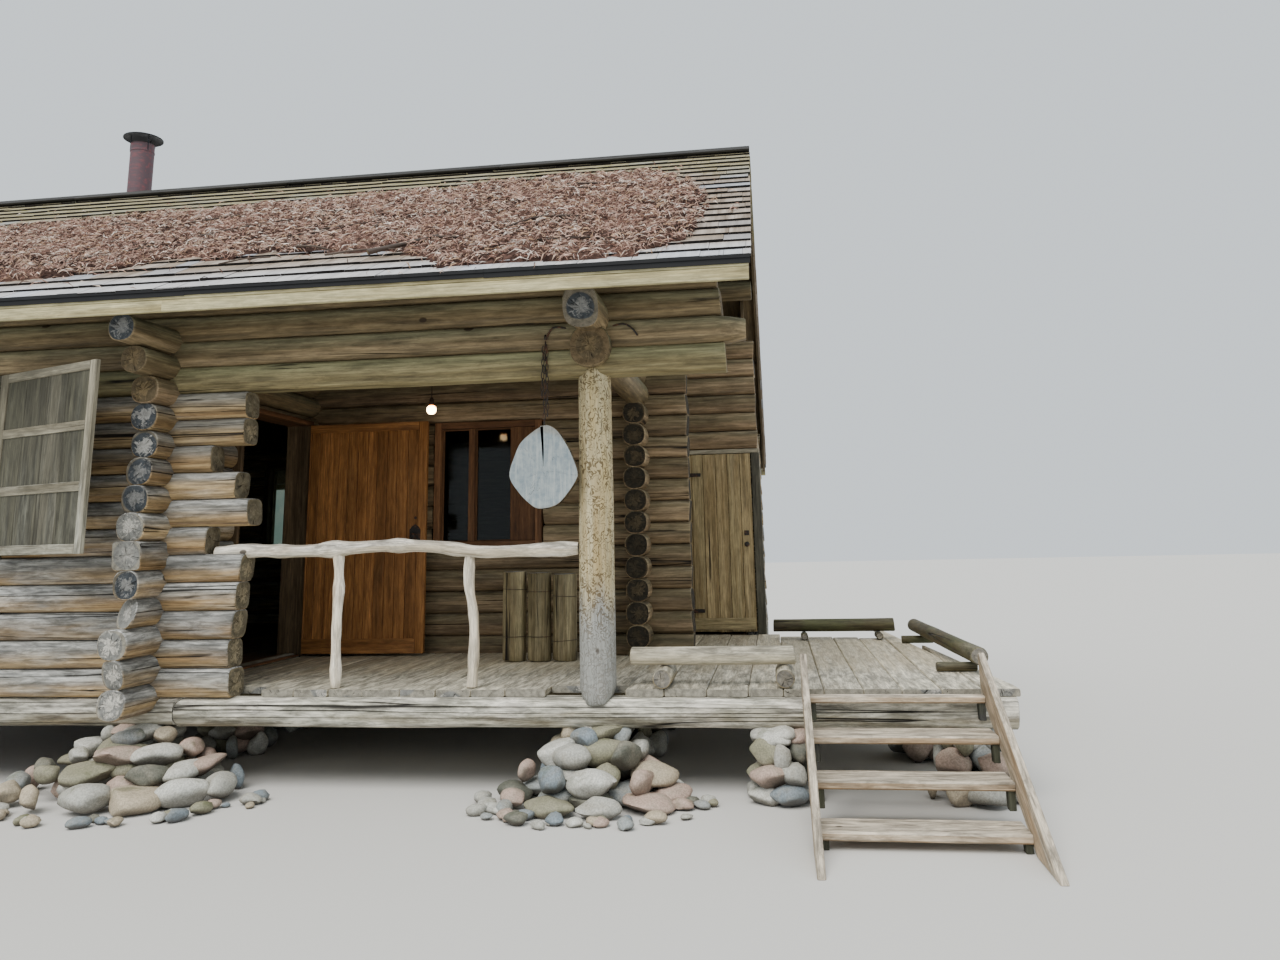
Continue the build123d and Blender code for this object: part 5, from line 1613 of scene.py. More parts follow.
stock = Stock()
old_stock = Stock()
for low, high in every["kerb_logs"]:
    axis, start, end = log_line(low, high)
    radius = (high[2] - low[2]) / 2 - 0.0015
    front_one = high[1] < 1 and radius > 0.05
    target = stock if front_one else old_stock
    side = (0, 1, 0) if axis == "x" else (1, 0, 0)
    way = np.array([1, 0, 0]) if axis == "x" else np.array([0, 1, 0])
    line = straight(start + way * 0.008, end - way * 0.008, 0.07)
    if axis == "y" and end[1] - start[1] > 1:
        line[:, 0] += np.linspace(0.10, 0.01, len(line))
    elif axis == "x" and start[0] > 1 and end[0] - start[0] > 0.5:
        line = straight(start - way * 0.10, end - way * 0.008, 0.07)
    elif start[0] > 2.1:
        line = straight(start + way * 0.008, end + way * 0.06, 0.07)
    sweep(target, line, side, (0, 0, 1), log_outline(radius, radius, 2.0, 20), dice, rough=0.012,
        swell=0.015, cuts=[(dice.uniform(-0.1, 0.1), dice.uniform(-0.1, 0.1)) for _ in range(2)],
        pith=(dice.uniform(-0.01, 0.01), dice.uniform(-0.01, 0.01)))
wood_end("kerb_end", (160, 152, 136), (120, 116, 108), (150, 140, 120), radius=0.06, cracks=0.6)
dress(stock, "kerb_logs.front", "kerb_log", "kerb_end")
dress(old_stock, "kerb_logs.old", "old_kerb_log", "kerb_end")
print("sills and kerbs are laid")

# %% [markdown]
# Three split logs stand against the back of the porch, each tied round with two turns of wire.
# They keep their round side to the front, so their section is half a circle with a flat back.

# %% Bound split logs with wires
def half_round(radius, back, around):
    """A half circle towards the viewer with a shallow flat back."""
    angles = np.linspace(math.pi, 2 * math.pi, around)
    front = [(radius * math.cos(a), radius * math.sin(a)) for a in angles]
    return np.array(front + [(radius - 0.004, back), (-radius + 0.004, back)])


def hoop(stock, points, radius, dice, around=6, tone=None, closed=False):
    """A thin round bar along points. Closed ones run round without ends."""
    line = np.asarray(points, float)
    count = len(line)
    after = np.roll(line, -1, 0) if closed else np.vstack([line[1:], 2 * line[-1:] - line[-2:-1]])
    before = np.roll(line, 1, 0) if closed else np.vstack([2 * line[:1] - line[1:2], line[:-1]])
    ways = after - before
    ways /= np.linalg.norm(ways, axis=1)[:, None]
    hint = np.array([0.13, 0.21, 0.97])
    side = np.cross(ways, hint)
    side /= np.linalg.norm(side, axis=1)[:, None]
    up = np.cross(side, ways)
    angles = np.arange(around) * 2 * math.pi / around
    rings = (line[:, None] + radius * (np.cos(angles)[None, :, None] * side[:, None]
        + np.sin(angles)[None, :, None] * up[:, None]))
    points = rings.reshape(-1, 3)
    faces = [(a, d, c, b) for a, b, c, d in ring_faces(count, around, closed)]
    if not closed:
        faces.append(tuple(range(around)))
        faces.append(tuple((count - 1) * around + j for j in range(around))[::-1])
    along = np.repeat(np.arange(count) * 0.01, around)
    grain = np.column_stack([along, points[:, 1], points[:, 2]])
    stock.add(points, faces, grain, dice.random() if tone is None else tone)


def iron(name, base, rust, rough=0.7, metal=0.6, rust_share=0.5):
    """Old iron: dark skin broken by patches of rust, pitted a little."""
    s, shader = new_finish(name)
    place = s.place()
    patch = s.noise(place, 26.0, 5.0, 0.65)
    grit = s.noise(place, 240.0, 2.0, 0.6)
    mask = s.between(patch, 0.62 - 0.3 * rust_share, 0.78 - 0.3 * rust_share)
    body = s.mix(mask, base, rust)
    shade = s.between(grit, 0.3, 0.7, 0.8, 1.15)
    body = s.shaded(body, shade)
    s.join(s.between(mask, 0.0, 1.0, metal, 0.05), shader.inputs["Metallic"])
    cover(s, shader, body, s.between(mask, 0.0, 1.0, rough - 0.2, rough + 0.15),
        s.plus(patch, s.times(grit, 0.4)), 0.4, 0.0015, 0.5)


iron("dark_iron", (54, 50, 48), (92, 62, 44))
wood("bound_log", (150, 138, 106), (106, 94, 68), (134, 120, 90), (130, 124, 102), upward=0.1,
    exposure=0.1, checks=0.45, knots=0.5, stain=0.35, damp=0.15)
dice = random.Random("bound")
stock = Stock()
wires = Stock()
for low, high in every["bound_logs"]:
    middle = (low + high) / 2
    radius = (high[0] - low[0]) / 2 - 0.004
    flat_y = low[1] + 0.096
    outline = half_round(radius, 0.028, 15)
    line = straight((middle[0], flat_y, low[2] + 0.004), (middle[0], flat_y, high[2] - 0.004),
        0.09)
    sweep(stock, line, (1, 0, 0), (0, 1, 0), outline, dice, rough=0.008, swell=0.012,
        pith=(0, 0.05), cuts=((dice.uniform(-0.03, 0.1), 0), (0.02, 0.03)))
    for share in (dice.uniform(0.20, 0.28), dice.uniform(0.72, 0.84)):
        slant = dice.uniform(-0.06, 0.06)
        ring = [(middle[0] + x * 1.03, flat_y + y * 1.03, low[2] + share * (high[2] - low[2]) + x
            * slant) for x, y in outline]
        hoop(wires, ring, 0.0021, dice, closed=True)
dress(stock, "bound_logs.splits", "bound_log", "pale_end", sharp=50)
dress(wires, "bound_logs.wires", "dark_iron", beside=True)
print("bound logs", len(every["bound_logs"]))

# %% [markdown]
# A slice of a trunk hangs on a chain from the second beam. Sawn across, it shows rings and a
# wedge-shaped drying crack that runs in from its top. Its face is bare: nothing is written on it.

# %% Hanging slice and its chain
def slice_face():
    """Bleached end grain of a big slice, with rays and a few fine cracks."""
    s, shader = new_finish("slice_face")
    grain = s.attribute("grain", "Vector")
    end = s.group(end_group, Grain=grain, Radius=0.26, Cracks=0.10)
    body = s.mix(s.between(end["Blotch"], 0.3, 0.7), (128, 142, 150), (158, 168, 170))
    stripe = s.noise(grain, (1.0, 46.0, 5.0), 3.0, 0.6)
    body = s.mix(s.between(stripe, 0.42, 0.7, 0.0, 0.5), body, (196, 200, 196))
    body = s.mix(s.times(end["Rings"], 0.22), body, (112, 118, 120))
    body = s.mix(s.times(end["Rim"], 0.35), body, (138, 120, 92))
    body = s.mix(s.times(end["Crack"], 0.8), body, (58, 56, 52))
    high = s.minus(s.times(end["Rings"], 0.2), end["Crack"])
    cover(s, shader, body, 0.8, high, 0.8, 0.003, 0.2)


slice_face()
wood("slice_bark", (112, 94, 66), (72, 58, 40), (96, 80, 58), (120, 114, 100), knots=0.1,
    stain=0.3)
slice_middle = np.array([-0.306, -0.152, 1.975])
slice_rim = [(0, 0.268), (-0.135, 0.178), (-0.189, 0.081), (-0.225, -0.053), (-0.162, -0.162),
    (-0.081, -0.242), (-0.023, -0.268), (0.081, -0.249), (0.148, -0.189), (0.215, -0.094),
    (0.226, -0.039), (0.189, 0.067), (0.141, 0.162), (0.081, 0.242)]
rim = curved([(a, u, 0) for a, u in slice_rim[-1:] + slice_rim + slice_rim[:2]], 0.02)
first_turn = np.argmin(np.linalg.norm(rim[:, :2] - slice_rim[0], axis=1))
last_turn = len(rim) - 1 - np.argmin(np.linalg.norm(rim[::-1, :2] - slice_rim[0], axis=1))
rim = rim[first_turn:last_turn, :2] * 0.985
rim = np.vstack([[(-0.020, 0.262), (0.004, 0.095), (0.0, 0.262)], rim[1:]])
dice = random.Random("slice")
stock = Stock()
sweep(stock, straight(slice_middle + (0, 0.026, 0), slice_middle - (0, 0.026, 0), 0.026),
    (1, 0, 0), (0, 0, 1), rim, dice, tone=0.3, chamfer=0.003, pith=(0.01, 0.02))
dress(stock, "hanging_slice.face", "slice_bark", "slice_face", sharp=30)


def chain(stock, start, end, dice, length=0.052, width=0.017, wire=0.0032):
    """Oval links, each turned a quarter from the last."""
    start, end = np.array(start, float), np.array(end, float)
    way = (end - start) / np.linalg.norm(end - start)
    aside = np.cross(way, (0, 1, 0.0))
    aside /= np.linalg.norm(aside)
    other = np.cross(way, aside)
    pitch = length - 2.6 * wire
    count = int(np.linalg.norm(end - start) / pitch)
    for n in range(count):
        middle = start + way * pitch * (n + 0.5)
        spread = aside if n % 2 else other
        ring = []
        for a in np.linspace(0, 2 * math.pi, 16, endpoint=False):
            ring.append(middle + way * (length / 2 - wire) * math.sin(a) + spread * (width / 2)
                * math.copysign(abs(math.cos(a)) ** 0.7, math.cos(a)))
        hoop(stock, ring, wire, dice, closed=True)


stock = Stock()
hook_z = 2.839
chain(stock, (-0.306, -0.150, 2.235), (-0.306, -0.108, hook_z), dice)
chain(stock, (-0.322, -0.146, 2.42), (-0.318, -0.112, hook_z - 0.04), dice)
chain(stock, (-0.286, -0.142, 2.30), (-0.298, -0.112, hook_z - 0.02), dice)
hoop(stock, curved([(-0.306, -0.09, hook_z), (-0.306, -0.118, hook_z + 0.002),
    (-0.306, -0.132, hook_z - 0.012), (-0.306, -0.128, hook_z - 0.03)], 0.008), 0.005, dice)
dress(stock, "hanging_slice.chain", "dark_iron", beside=True)
print("slice and chain hang")

# %% [markdown]
# Stairs: two boards on edge carry four treads on dark cleats. Feet have bleached the treads and
# worn their front edges round.

# %% Stairs
wood("tread", (198, 172, 140), (158, 132, 102), (184, 158, 128), (216, 204, 184), upward=0.8,
    exposure=0.3, checks=0.3, knots=0.25, stain=0.2, damp=0.05, spacing=26.0, relief=0.5)
dice = random.Random("stairs")
stock = Stock()
treads = sorted(every["stair_treads"], key=lambda b: -b[0][2])
for low, high in treads:
    plank(stock, low + (0.001, 0.002, 0.0), high - (0.001, 0.001, 0.002), "x", dice, worn=0.009,
        step=0.2, skew=0.004)
dress(stock, "stair_treads.boards", "tread", "pale_end")
stock = Stock()
cleats = Stock()
stair_slope = 167 / 288
nose_y, nose_z = -0.176, 0.592
for low, high in every["stair_strings"]:
    left = (low[0] + high[0]) / 2 < 1.8
    x0, x1 = (1.2432, 1.2827) if left else (2.2773, 2.3167)
    steep = math.atan(stair_slope)
    way = np.array([0, math.cos(steep), math.sin(steep)])
    over = np.array([0, -math.sin(steep), math.cos(steep)])
    across = (0.150 + 0.075) * math.cos(steep)
    centre = np.array([(x0 + x1) / 2, nose_y, nose_z]) + over * ((0.150 - 0.075) / 2
        * math.cos(steep))
    foot = centre - way * ((centre[2] - 0.003) / way[2])
    head = centre + way * ((-0.052 - centre[1]) / way[1])
    slant = math.tan(steep)
    sweep(stock, straight(foot, head, 0.25), (1, 0, 0), over,
        board_outline(x1 - x0, across, 0.005), dice, cuts=((0, 1 / slant), (0, slant)),
        pith=(0.05, 0.02), chamfer=0.002)
    for low_tread, _ in treads:
        cleat_x = (1.2835, 1.3203) if left else (2.2397, 2.2765)
        top = low_tread[2] - 0.001
        bottom = max(0.002, top - 0.094)
        plank(cleats, (cleat_x[0], low_tread[1] + 0.015, bottom),
            (cleat_x[1], low_tread[1] + 0.073, top), "z", dice, step=0.1)
dress(stock, "stair_strings.boards", "tread", "pale_end")
dress(cleats, "stair_strings.cleats", "dark_board", "dark_end", beside=True)
print("treads", len(treads))

# %% [markdown]
# Doors and windows are joiner's work: straight boards with small gaps, rails across them, iron
# hinges that turn on pins. A plank that knows which way its fibres run is enough for all of it.
# Frames take each board from the box of its solid. Pins and knobs are turned shapes, made by
# spinning a short profile round an axis.

# %% Turned pieces, and the door frames
def turned(stock, profile, place, axis, around=20, tone=0.5):
    """Spins (radius, along) pairs round an axis through a place. Both ends are closed."""
    way = np.asarray(axis, float)
    first = np.cross(way, (0.31, 0.52, 0.79))
    first /= np.linalg.norm(first)
    second = np.cross(way, first)
    angles = np.arange(around) * 2 * math.pi / around
    points = []
    for radius, along in profile:
        for a in angles:
            points.append(np.asarray(place) + way * along + radius
                * (math.cos(a) * first + math.sin(a) * second))
    faces = ring_faces(len(profile), around)
    last = (len(profile) - 1) * around
    faces.append(tuple(range(around))[::-1])
    faces.append(tuple(last + j for j in range(around)))
    stock.add(points, faces, points, tone)


def pin_and_plate(stock, low, high, pin_x, pin_y, dice):
    """The fixed pin of a hinge on its plate."""
    plank(stock, low + 0.0005, (high[0] - 0.0005, high[1] - 0.0005, low[2] + 0.0115), "x", dice,
        worn=0.001, step=0.1, skew=0)
    turned(stock, [(0.0069, 0.0), (0.0069, high[2] - low[2] - 0.001)],
        (pin_x, pin_y, low[2] + 0.0005), (0, 0, 1), 16)


entry_pin = (-2.8725, 1.848)
store_pin = (0.190, 3.4025)
shutter_pin = (-4.160, -0.1615)
wood("jamb", (124, 104, 78), (84, 68, 50), (106, 88, 66), (106, 98, 82), upward=0.1, exposure=0.05,
    checks=0.2, knots=0.2, stain=0.2, damp=0.1, relief=0.4)
wood("red_board", (140, 100, 68), (96, 66, 44), (122, 86, 58), (118, 98, 76), upward=0.1,
    exposure=0.0, checks=0.15, knots=0.3, stain=0.2, damp=0.0, relief=0.4)
dice = random.Random("door frames")
for name, pin, mats in (("entry_door_frame", entry_pin, ("jamb", "red_board")),
        ("store_door_frame", store_pin, ("shutter_board_painted_shade", "pale_board"))):
    boards = Stock()
    metal = Stock()
    for low, high in every[name]:
        size = high - low
        if size.max() < 0.1:
            pin_and_plate(metal, low, high, pin[0], pin[1], dice)
            continue
        axis = "xyz"[int(np.argmax(size))]
        before = len(boards.finish)
        plank(boards, low + 0.0004, high - 0.0004, axis, dice, **JOINED)
        if axis != "z":
            boards.finish[before:] = [END if f == SIDE else f for f in boards.finish[before:]]
    dress(boards, name + ".boards", mats[0], mats[1])
    dress(metal, name + ".pins", "dark_iron", beside=True)
print("door frames and pins")

# %% [markdown]
# The entry door has upright boards of two widths, set back between a top rail, a bottom rail and
# a stile on the lock side. Oil and hands have kept it warm brown. Its lock plate is a dark pointed
# sheet with a round knob. The strap hinges are on its far side, where the pins stand.

# %% Entry door
def strap_hinges(stock, pin, heights, outside, face, length, dice):
    """Sleeve and strap of each hinge of a leaf that runs along X from its pin."""
    for z in heights:
        turned(stock, [(0.0075, -0.028), (0.0121, -0.0275), (0.0121, 0.0275), (0.0075, 0.028)],
            (pin[0], pin[1], z), (0, 0, 1), 20)
        y0, y1 = sorted((pin[1] - outside * 0.0035, pin[1] + outside * 0.0035))
        plank(stock, (pin[0] + 0.010, y0, z - 0.0175), (pin[0] + length, y1, z + 0.0175), "x",
            dice, worn=0.001, step=0.08, skew=0)
        y0, y1 = sorted((face, pin[1] - outside * 0.0035))
        plank(stock, (pin[0] + 0.016, y0, z - 0.0165), (pin[0] + length - 0.004, y1, z + 0.0165),
            "x", dice, worn=0.001, step=0.2, skew=0)
        for share in (0.2, 0.55, 0.9):
            turned(stock, [(0.008, 0.0), (0.007, 0.003), (0.003, 0.0048)],
                (pin[0] + length * share, pin[1] + outside * 0.0035, z), (0, outside, 0), 12)


def knob(stock, place, way, neck=0.011, reach=0.052):
    """A round door knob on its neck, which starts at the leaf's face."""
    turned(stock, [(0.021, 0.0), (0.021, 0.003), (neck, 0.006), (neck, reach - 0.018),
        (0.018, reach - 0.014), (0.0245, reach - 0.006), (0.0245, reach + 0.006),
        (0.019, reach + 0.013), (0.009, reach + 0.0148)], place, way, 28)


dice = random.Random("entry door")
leaf = Stock()
left, right = -2.8665, -1.7985
low_z, high_z = 0.630, 2.560
front_y, back_y = 1.7905, 1.8325
stile = 0.075
top_rail, bottom_rail = 0.072, 0.120
recess = 0.009
inner_right = right - stile
for x0, x1 in plank_row([left + 0.012] + [left + 0.012 + (inner_right - left - 0.012) * s
        for s in (0.075, 0.17, 0.26, 0.345, 0.44, 0.53, 0.615, 0.71, 0.80, 0.90)] + [inner_right],
        0.003):
    plank(leaf, (x0, front_y + recess + dice.uniform(0, 0.0012), low_z + bottom_rail - 0.004),
        (x1, back_y, high_z - top_rail + 0.004), "z", dice, worn=0.0035, step=0.3, skew=0)
plank(leaf, (left, front_y, low_z), (inner_right - 0.001, back_y, low_z + bottom_rail), "x", dice,
    **JOINED, tone=0.75)
plank(leaf, (left, front_y, high_z - top_rail), (inner_right - 0.001, back_y, high_z), "x", dice,
    **JOINED, tone=0.3)
plank(leaf, (inner_right, front_y, low_z), (right, back_y, high_z), "z", dice, **JOINED, tone=0.9)
plank(leaf, (left, front_y + 0.001, low_z + bottom_rail),
    (left + 0.011, back_y, high_z - top_rail), "z", dice, worn=0.002, step=0.3, skew=0)
dress(leaf, "entry_door.boards", "door_board", "brown_end")

metal = Stock()
strap_hinges(metal, entry_pin, (0.870, 2.320), 1, back_y, 0.240, dice)
knob_place = np.array([-1.8885, 0, 1.587])
knob(metal, knob_place + (0, front_y - 0.004, 0), (0, -1, 0), reach=0.048)
knob(metal, knob_place + (0, back_y + 0.003, 0), (0, 1, 0), reach=0.049)
plate_rim = np.array([(-0.048, -0.084), (0.048, -0.084), (0.048, 0.040), (0.028, 0.066),
    (0.0, 0.084), (-0.028, 0.066), (-0.048, 0.040)])
sweep(metal, [knob_place + (0, front_y + 0.001, 0.012), knob_place + (0, front_y - 0.004, 0.012)],
    (1, 0, 0), (0, 0, 1), plate_rim, dice, chamfer=0.0012, end=SIDE)
turned(metal, [(0.012, 0.0), (0.012, 0.003), (0.009, 0.0045)], knob_place
    + (0, front_y - 0.0005, 0.150), (0, -1, 0), 16)
dress(metal, "entry_door.iron", "dark_iron", beside=True)
print("entry door boards", len(leaf.points))

# %% [markdown]
# The store door is six weathered boards, with a rail across the foot and a small knob. Sun has
# bleached it unevenly. The shutter has a frame of stiles and rails round three panels.

# %% Store door and shutter
dice = random.Random("store door")
leaf = Stock()
left, right = 0.196, 0.924
low_z, high_z = 0.632, 2.334
front_y, back_y = 3.418, 3.460
for x0, x1 in plank_row([left + (right - left) * s for s in (0, 0.19, 0.35, 0.52, 0.68, 0.85,
        1.0)], 0.004):
    plank(leaf, (x0, front_y + dice.uniform(0.002, 0.004), low_z + dice.uniform(0, 0.006)),
        (x1, back_y, high_z), "z", dice, step=0.3, skew=0.01)
plank(leaf, (left + 0.01, front_y - 0.012, low_z + 0.02),
    (right - 0.01, front_y + 0.003, low_z + 0.13), "x", dice, worn=0.003)
dress(leaf, "store_door.boards", "grey_board", "brown_end")
metal = Stock()
strap_hinges(metal, store_pin, (0.832, 2.134), -1, front_y, 0.240, dice)
knob(metal, (0.860, front_y + 0.004, 1.454), (0, -1, 0), reach=0.050)
plank(metal, (0.838, front_y - 0.003, 1.54), (0.884, front_y + 0.003, 1.585), "x", dice,
    worn=0.001, step=0.05, skew=0)
dress(metal, "store_door.iron", "dark_iron", beside=True)

dice = random.Random("shutter")
leaf = Stock()
metal = Stock()
left, right = 0.006, 1.098
low_z, high_z = 1.495, 2.727
front_y, back_y = -0.0475, -0.0155
hinge_stile, free_stile, rail = 0.095, 0.0665, 0.062
for x0, x1 in plank_row([left + hinge_stile + (right - left - hinge_stile - free_stile) * s
        for s in (0, 0.24, 0.5, 0.74, 1.0)], 0.003):
    plank(leaf, (x0, front_y + 0.009, low_z + 0.03), (x1, back_y, high_z - 0.03), "z", dice,
        **JOINED)
frame_stock = Stock()
plank(frame_stock, (left + 0.006, front_y, low_z), (left + hinge_stile, back_y, high_z), "z", dice,
    step=0.3, skew=0, tone=0.9)
plank(frame_stock, (right - free_stile, front_y, low_z), (right, back_y, high_z), "z", dice,
    step=0.3, skew=0, tone=0.1)
for n in range(4):
    z = low_z + n * 0.390
    plank(frame_stock, (left + hinge_stile + 0.001, front_y, z),
        (right - free_stile - 0.001, front_y + 0.011, z + rail), "x", dice, step=0.3, skew=0,
        tone=dice.uniform(0, 0.4))
strap_hinges(metal, (0, 0), (1.675, 2.547), 1, back_y, 0.240, dice)
swing = math.radians(339)
turn = np.array([[math.cos(swing), -math.sin(swing), 0], [math.sin(swing), math.cos(swing), 0],
    [0, 0, 1]])
for stock in (leaf, frame_stock, metal):
    stock.points = [points @ turn.T + (shutter_pin[0], shutter_pin[1], 0)
        for points in stock.points]
dress(leaf, "window_shutter.boards", "shutter_board_painted_shade", "pale_end")
dress(frame_stock, "window_shutter.frame", "shutter_frame", "pale_end", beside=True)
dress(metal, "window_shutter.iron", "dark_iron", beside=True)
print("store door and shutter")

# %% [markdown]
# Window frames are four boards round the opening and an upright bar between the panes. The glass
# is old: clear, with dust that dulls it in patches. It stays a real pane, so the dark room shows
# through it and the sky shines on it.

# %% Window frames and glass
def glass_finish():
    """Clear old glass with a thin uneven film of dust."""
    s, shader = new_finish("old_glass")
    place = s.place()
    film = s.noise(place, (3.0, 3.0, 2.0), 5.0, 0.65)
    fine = s.noise(place, 60.0, 3.0, 0.6)
    shader.inputs["Transmission Weight"].default_value = 1.0
    shader.inputs["IOR"].default_value = 1.28
    cover(s, shader, s.mix(s.between(film, 0.4, 0.75), (92, 108, 98), (120, 126, 112)),
        s.between(s.plus(film, s.times(fine, 0.2)), 0.5, 0.85, 0.02, 0.16), film, 0.02, 0.001,
        0.35)


glass_finish()
panes = every["window_glass"]
for name, side_finish in (("front_window_frame", "shutter_board_painted_shade"), ("rear_window_frame", "jamb"),
        ("porch_window_frame", "red_board")):
    dice = random.Random(name)
    boards = Stock()
    metal = Stock()
    for low, high in every[name]:
        if (high - low).max() < 0.1:
            pin_and_plate(metal, low, high, shutter_pin[0], shutter_pin[1], dice)
            continue
        own = [(a, b) for a, b in panes if low[1] < a[1] < high[1] and low[0] < a[0] < high[0]]
        own.sort(key=lambda pair: pair[0][0])
        first, last = own[0][0], own[-1][1]
        front, back = low[1], high[1]
        for x0, x1 in ((low[0], first[0]), (last[0], high[0])):
            plank(boards, (x0, front, low[2]), (x1, back, high[2]), "z", dice, **JOINED)
        for a, b in zip(own, own[1:]):
            plank(boards, (a[1][0], front + 0.03, first[2]), (b[0][0], back - 0.03, last[2]), "z",
                dice, **JOINED)
        for z0, z1 in ((low[2], first[2]), (last[2], high[2])):
            plank(boards, (first[0], front + 0.002, z0), (last[0], back - 0.002, z1), "x", dice,
                **JOINED)
        if name == "porch_window_frame":
            plank(boards, (-1.13, front + 0.036, first[2] + 0.002),
                (last[0] - 0.002, front + 0.058, last[2] - 0.002), "z", dice, step=0.3)
        for a, b in own:
            glass_y = (a[1] + b[1]) / 2
            for x0, x1 in ((a[0], a[0] + 0.012), (b[0] - 0.012, b[0])):
                plank(boards, (x0, glass_y - 0.016, a[2]), (x1, glass_y - 0.003, b[2]), "z", dice,
                    worn=0.002, step=0.4, skew=0)
            for z0, z1 in ((a[2], a[2] + 0.012), (b[2] - 0.012, b[2])):
                plank(boards, (a[0] + 0.012, glass_y - 0.016, z0),
                    (b[0] - 0.012, glass_y - 0.003, z1), "x", dice, worn=0.002, step=0.4, skew=0)
    dress(boards, name + ".boards", side_finish, "brown_end")
    if metal.points:
        dress(metal, name + ".pins", "dark_iron", beside=True)
glass = Stock()
dice = random.Random("glass")
for low, high in panes:
    plank(glass, low, high, "z", dice, worn=0.0004, step=2, skew=0, chamfer=0.0003)
dress(glass, "window_glass.panes", "old_glass", "old_glass")
print("panes", len(panes))

# %% [markdown]
# Upright boards close the gables. Each is cut to the slope of the roof above it.

# %% Gables
for name in ("left_gable", "right_gable", "store_gable"):
    dice = random.Random(name)
    stock = Stock()
    low, high = box(name)
    for y0, y1 in plank_row(board_edges(low[1], high[1], 0.19, dice), 0.003):
        middle = (y0 + y1) / 2
        if y0 < ridge_y < y1:
            lean = 0.0
            top = ridge_under - max(ridge_y - y0, y1 - ridge_y) * slope
        else:
            lean = slope if middle < ridge_y else -slope
            top = ridge_under - abs(middle - ridge_y) * slope
        bottom = low[2]
        if top - bottom < 0.05:
            continue
        reach = (y1 - y0) / 2 * abs(lean)
        if top - reach < bottom + 0.01:
            continue
        plank(stock, (low[0] + 0.001, y0, bottom), (high[0] - 0.001, y1, top - 0.004), "z", dice,
            worn=0.002, step=6, cuts=((0, 0), (0, lean)))
    dress(stock, name + ".boards", "gable_board", "brown_end")
print("gables")

# %% [markdown]
# The bare bulb glows warm over the porch. Its glass shines pale, and amber towards its neck.

# %% Lamp
def bulb_finish():
    """Frosted bulb that shines: emission, warmer towards its neck."""
    s, shader = new_finish("bulb")
    height = s.parts(s.place())[2]
    warm = s.between(height, 2.56, 2.585)
    glow = s.mix(warm, (255, 214, 160), (255, 150, 70))
    s.join(glow, shader.inputs["Emission Color"])
    s.join(s.mix(warm, (250, 236, 214), (230, 190, 140)), shader.inputs["Base Color"])
    shader.inputs["Emission Strength"].default_value = 26.0
    shader.inputs["Roughness"].default_value = 0.3


bulb_finish()
sheet_metal("bakelite", (46, 34, 26), (70, 54, 42), 0.35)
bulb = Stock()
lamp_x, lamp_y, bulb_z = -1.5, 1.055, 2.550
turned(bulb, [(0.004, -0.0372), (0.016, -0.0345), (0.027, -0.0265), (0.034, -0.0165),
    (0.0372, -0.004), (0.0365, 0.008), (0.0315, 0.020), (0.023, 0.030), (0.0165, 0.036)],
    (lamp_x, lamp_y, bulb_z), (0, 0, 1), 28)
dress(bulb, "porch_lamp.bulb", "bulb")
holder = Stock()
turned(holder, [(0.0165, 0.0), (0.0215, 0.003), (0.0215, 0.030), (0.0185, 0.033), (0.0185, 0.050),
    (0.009, 0.066), (0.0045, 0.070)], (lamp_x, lamp_y, 2.580), (0, 0, 1), 24)
hoop(holder, [(lamp_x, lamp_y, 2.645), (lamp_x + 0.0008, lamp_y, 2.8), (lamp_x, lamp_y, 2.92),
    (lamp_x, lamp_y, 3.019)], 0.0038, dice, around=10)
dress(holder, "porch_lamp.holder", "bakelite", beside=True)
print("lamp at", lamp_x, lamp_y, bulb_z)

# %% [markdown]
# The stove pipe is rolled sheet with folded seams. Red lead paint shows through its soot, and a
# shallow hood stands over it on three strips.

# %% Flue
sheet_metal("flue_paint", (92, 74, 80), (134, 82, 86), 0.5)
sheet_metal("flue_soot", (34, 38, 46), (58, 58, 64), 0.45)
pipe = Stock()
radius = 0.1195
flue_top = 5.7403
profile = [(radius - 0.006, flue_low[2] + 0.001), (radius, flue_low[2] + 0.001)]
for seam in (4.62, 5.16, 5.66):
    profile += [(radius - 0.004, seam - 0.012), (radius, seam - 0.006), (radius, seam + 0.006),
        (radius - 0.004, seam + 0.012)]
profile += [(radius - 0.004, flue_top - 0.006), (radius, flue_top - 0.002), (radius, flue_top),
    (radius - 0.006, flue_top), (radius - 0.008, flue_top - 0.3),
    (radius - 0.008, flue_low[2] + 0.3)]
turned(pipe, profile, (flue_middle[0], flue_middle[1], 0), (0, 0, 1), 40)
turned(pipe, [(0.1235, 0.0), (0.170, -0.02), (0.172, -0.014), (0.1235, 0.012)],
    (flue_middle[0], flue_middle[1], ridge_under + 0.03), (0, 0, 1), 40)
dress(pipe, "flue.pipe", "flue_paint", sharp=30)
hood = Stock()
hood_low = flue_high[2] - 0.060
turned(hood, [(0.055, 0.050), (0.186, 0.004), (0.186, 0.0005), (0.1945, 0.0005), (0.1945, 0.008),
    (0.12, 0.036), (0.062, 0.0555), (0.02, 0.0595)], (flue_middle[0], flue_middle[1], hood_low),
    (0, 0, 1), 40)
for n in range(3):
    angle = math.radians(90 + n * 120)
    place = np.array([flue_middle[0] + 0.1165 * math.cos(angle), flue_middle[1] + 0.1165
        * math.sin(angle), 0])
    hoop(hood, [place + (0, 0, flue_top - 0.08), place + (0, 0, flue_top), place
        + (0, 0, hood_low + 0.012), place * (1, 1, 0) + (0, 0, hood_low + 0.028)], 0.0048, dice,
        around=10)
dress(hood, "flue.hood", "flue_soot", sharp=30, beside=True)
print("flue to", round(float(flue_high[2]), 3))

# %% [markdown]
# Last come the small things: twigs that fell on the roof with the needles, and two bent iron
# hooks driven into the beam beside the tie logs.

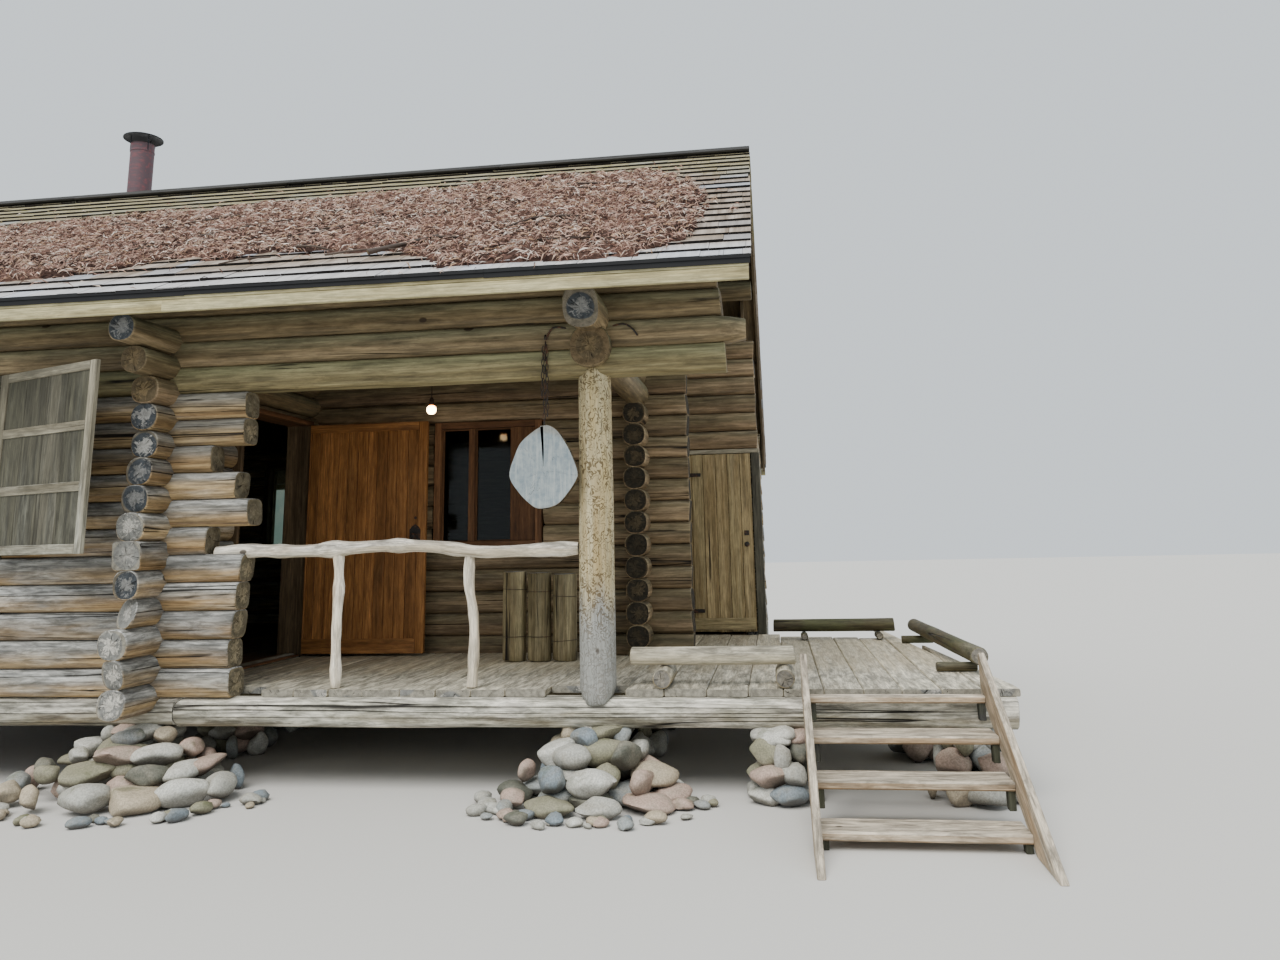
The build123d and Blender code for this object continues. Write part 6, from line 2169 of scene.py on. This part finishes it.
# %% Twigs and hooks
wood("twig", (98, 84, 74), (62, 52, 46), (84, 72, 64), (108, 98, 90), checks=0.3, knots=0.3,
    stain=0.4, relief=0.4)
dice = random.Random("twigs")
stock = Stock()
twig_over = shake_face + 0.030


def twig(marks, radius, branch=True):
    """A fallen twig through (x, down the slope) marks, lying on the mat."""
    line = [roof_place(down, twig_over + dice.uniform(0.0, 0.012), x) for x, down in marks]
    sapling(stock, line, radius, dice, knots=4, taper=0.55)
    if branch:
        x, down = marks[len(marks) // 2]
        turn = dice.uniform(-0.8, 0.8)
        side = [(x, down), (x + 0.10 * math.cos(turn), down + 0.10 * math.sin(turn)),
            (x + 0.22 * math.cos(turn + 0.3), down + 0.22 * math.sin(turn + 0.3))]
        line = [roof_place(b, twig_over, a) for a, b in side]
        sapling(stock, line, radius * 0.6, dice, knots=2, taper=0.6)


twig([(-1.42, 3.04), (-1.30, 2.93), (-1.16, 2.78), (-1.02, 2.66)], 0.017, False)
twig([(-1.10, 2.72), (-0.95, 2.74), (-0.80, 2.78)], 0.011, False)
twig([(-1.86, 1.75), (-1.70, 2.10), (-1.62, 2.36)], 0.008)
twig([(-0.62, 2.62), (-0.50, 2.46), (-0.36, 2.36), (-0.12, 2.40)], 0.010)
twig([(-3.10, 2.24), (-2.70, 1.98), (-2.30, 1.80), (-2.0, 1.78)], 0.009)
twig([(-3.9, 2.72), (-3.62, 2.62), (-3.3, 2.48)], 0.009)
for _ in range(22):
    x, down = dice.uniform(-7.0, 0.4), dice.uniform(1.3, 3.1)
    turn = dice.uniform(-0.5, 0.5)
    reach = dice.uniform(0.12, 0.30)
    twig([(x - reach * math.cos(turn), down - reach * math.sin(turn)),
        (x, down + dice.uniform(-0.04, 0.04)), (x + reach * math.cos(turn), down + reach
        * math.sin(turn))], dice.uniform(0.0035, 0.008), dice.random() < 0.5)
dress(stock, "front_shakes.twigs", "twig", "brown_end", beside=True)

hooks = Stock()
for x, reach in ((0.205, 0.10), (-0.235, 0.07)):
    sign = 1 if x > 0 else -1
    hoop(hooks, curved([(x - sign * 0.07, -0.088, 2.885), (x - sign * 0.02, -0.106, 2.893),
        (x + sign * reach * 0.3, -0.112, 2.888), (x + sign * reach * 0.75, -0.108, 2.850),
        (x + sign * reach, -0.100, 2.812)], 0.02), 0.0062, dice, around=8)
dress(hooks, "porch_beams.hooks", "dark_iron", beside=True)
print("twigs and hooks")
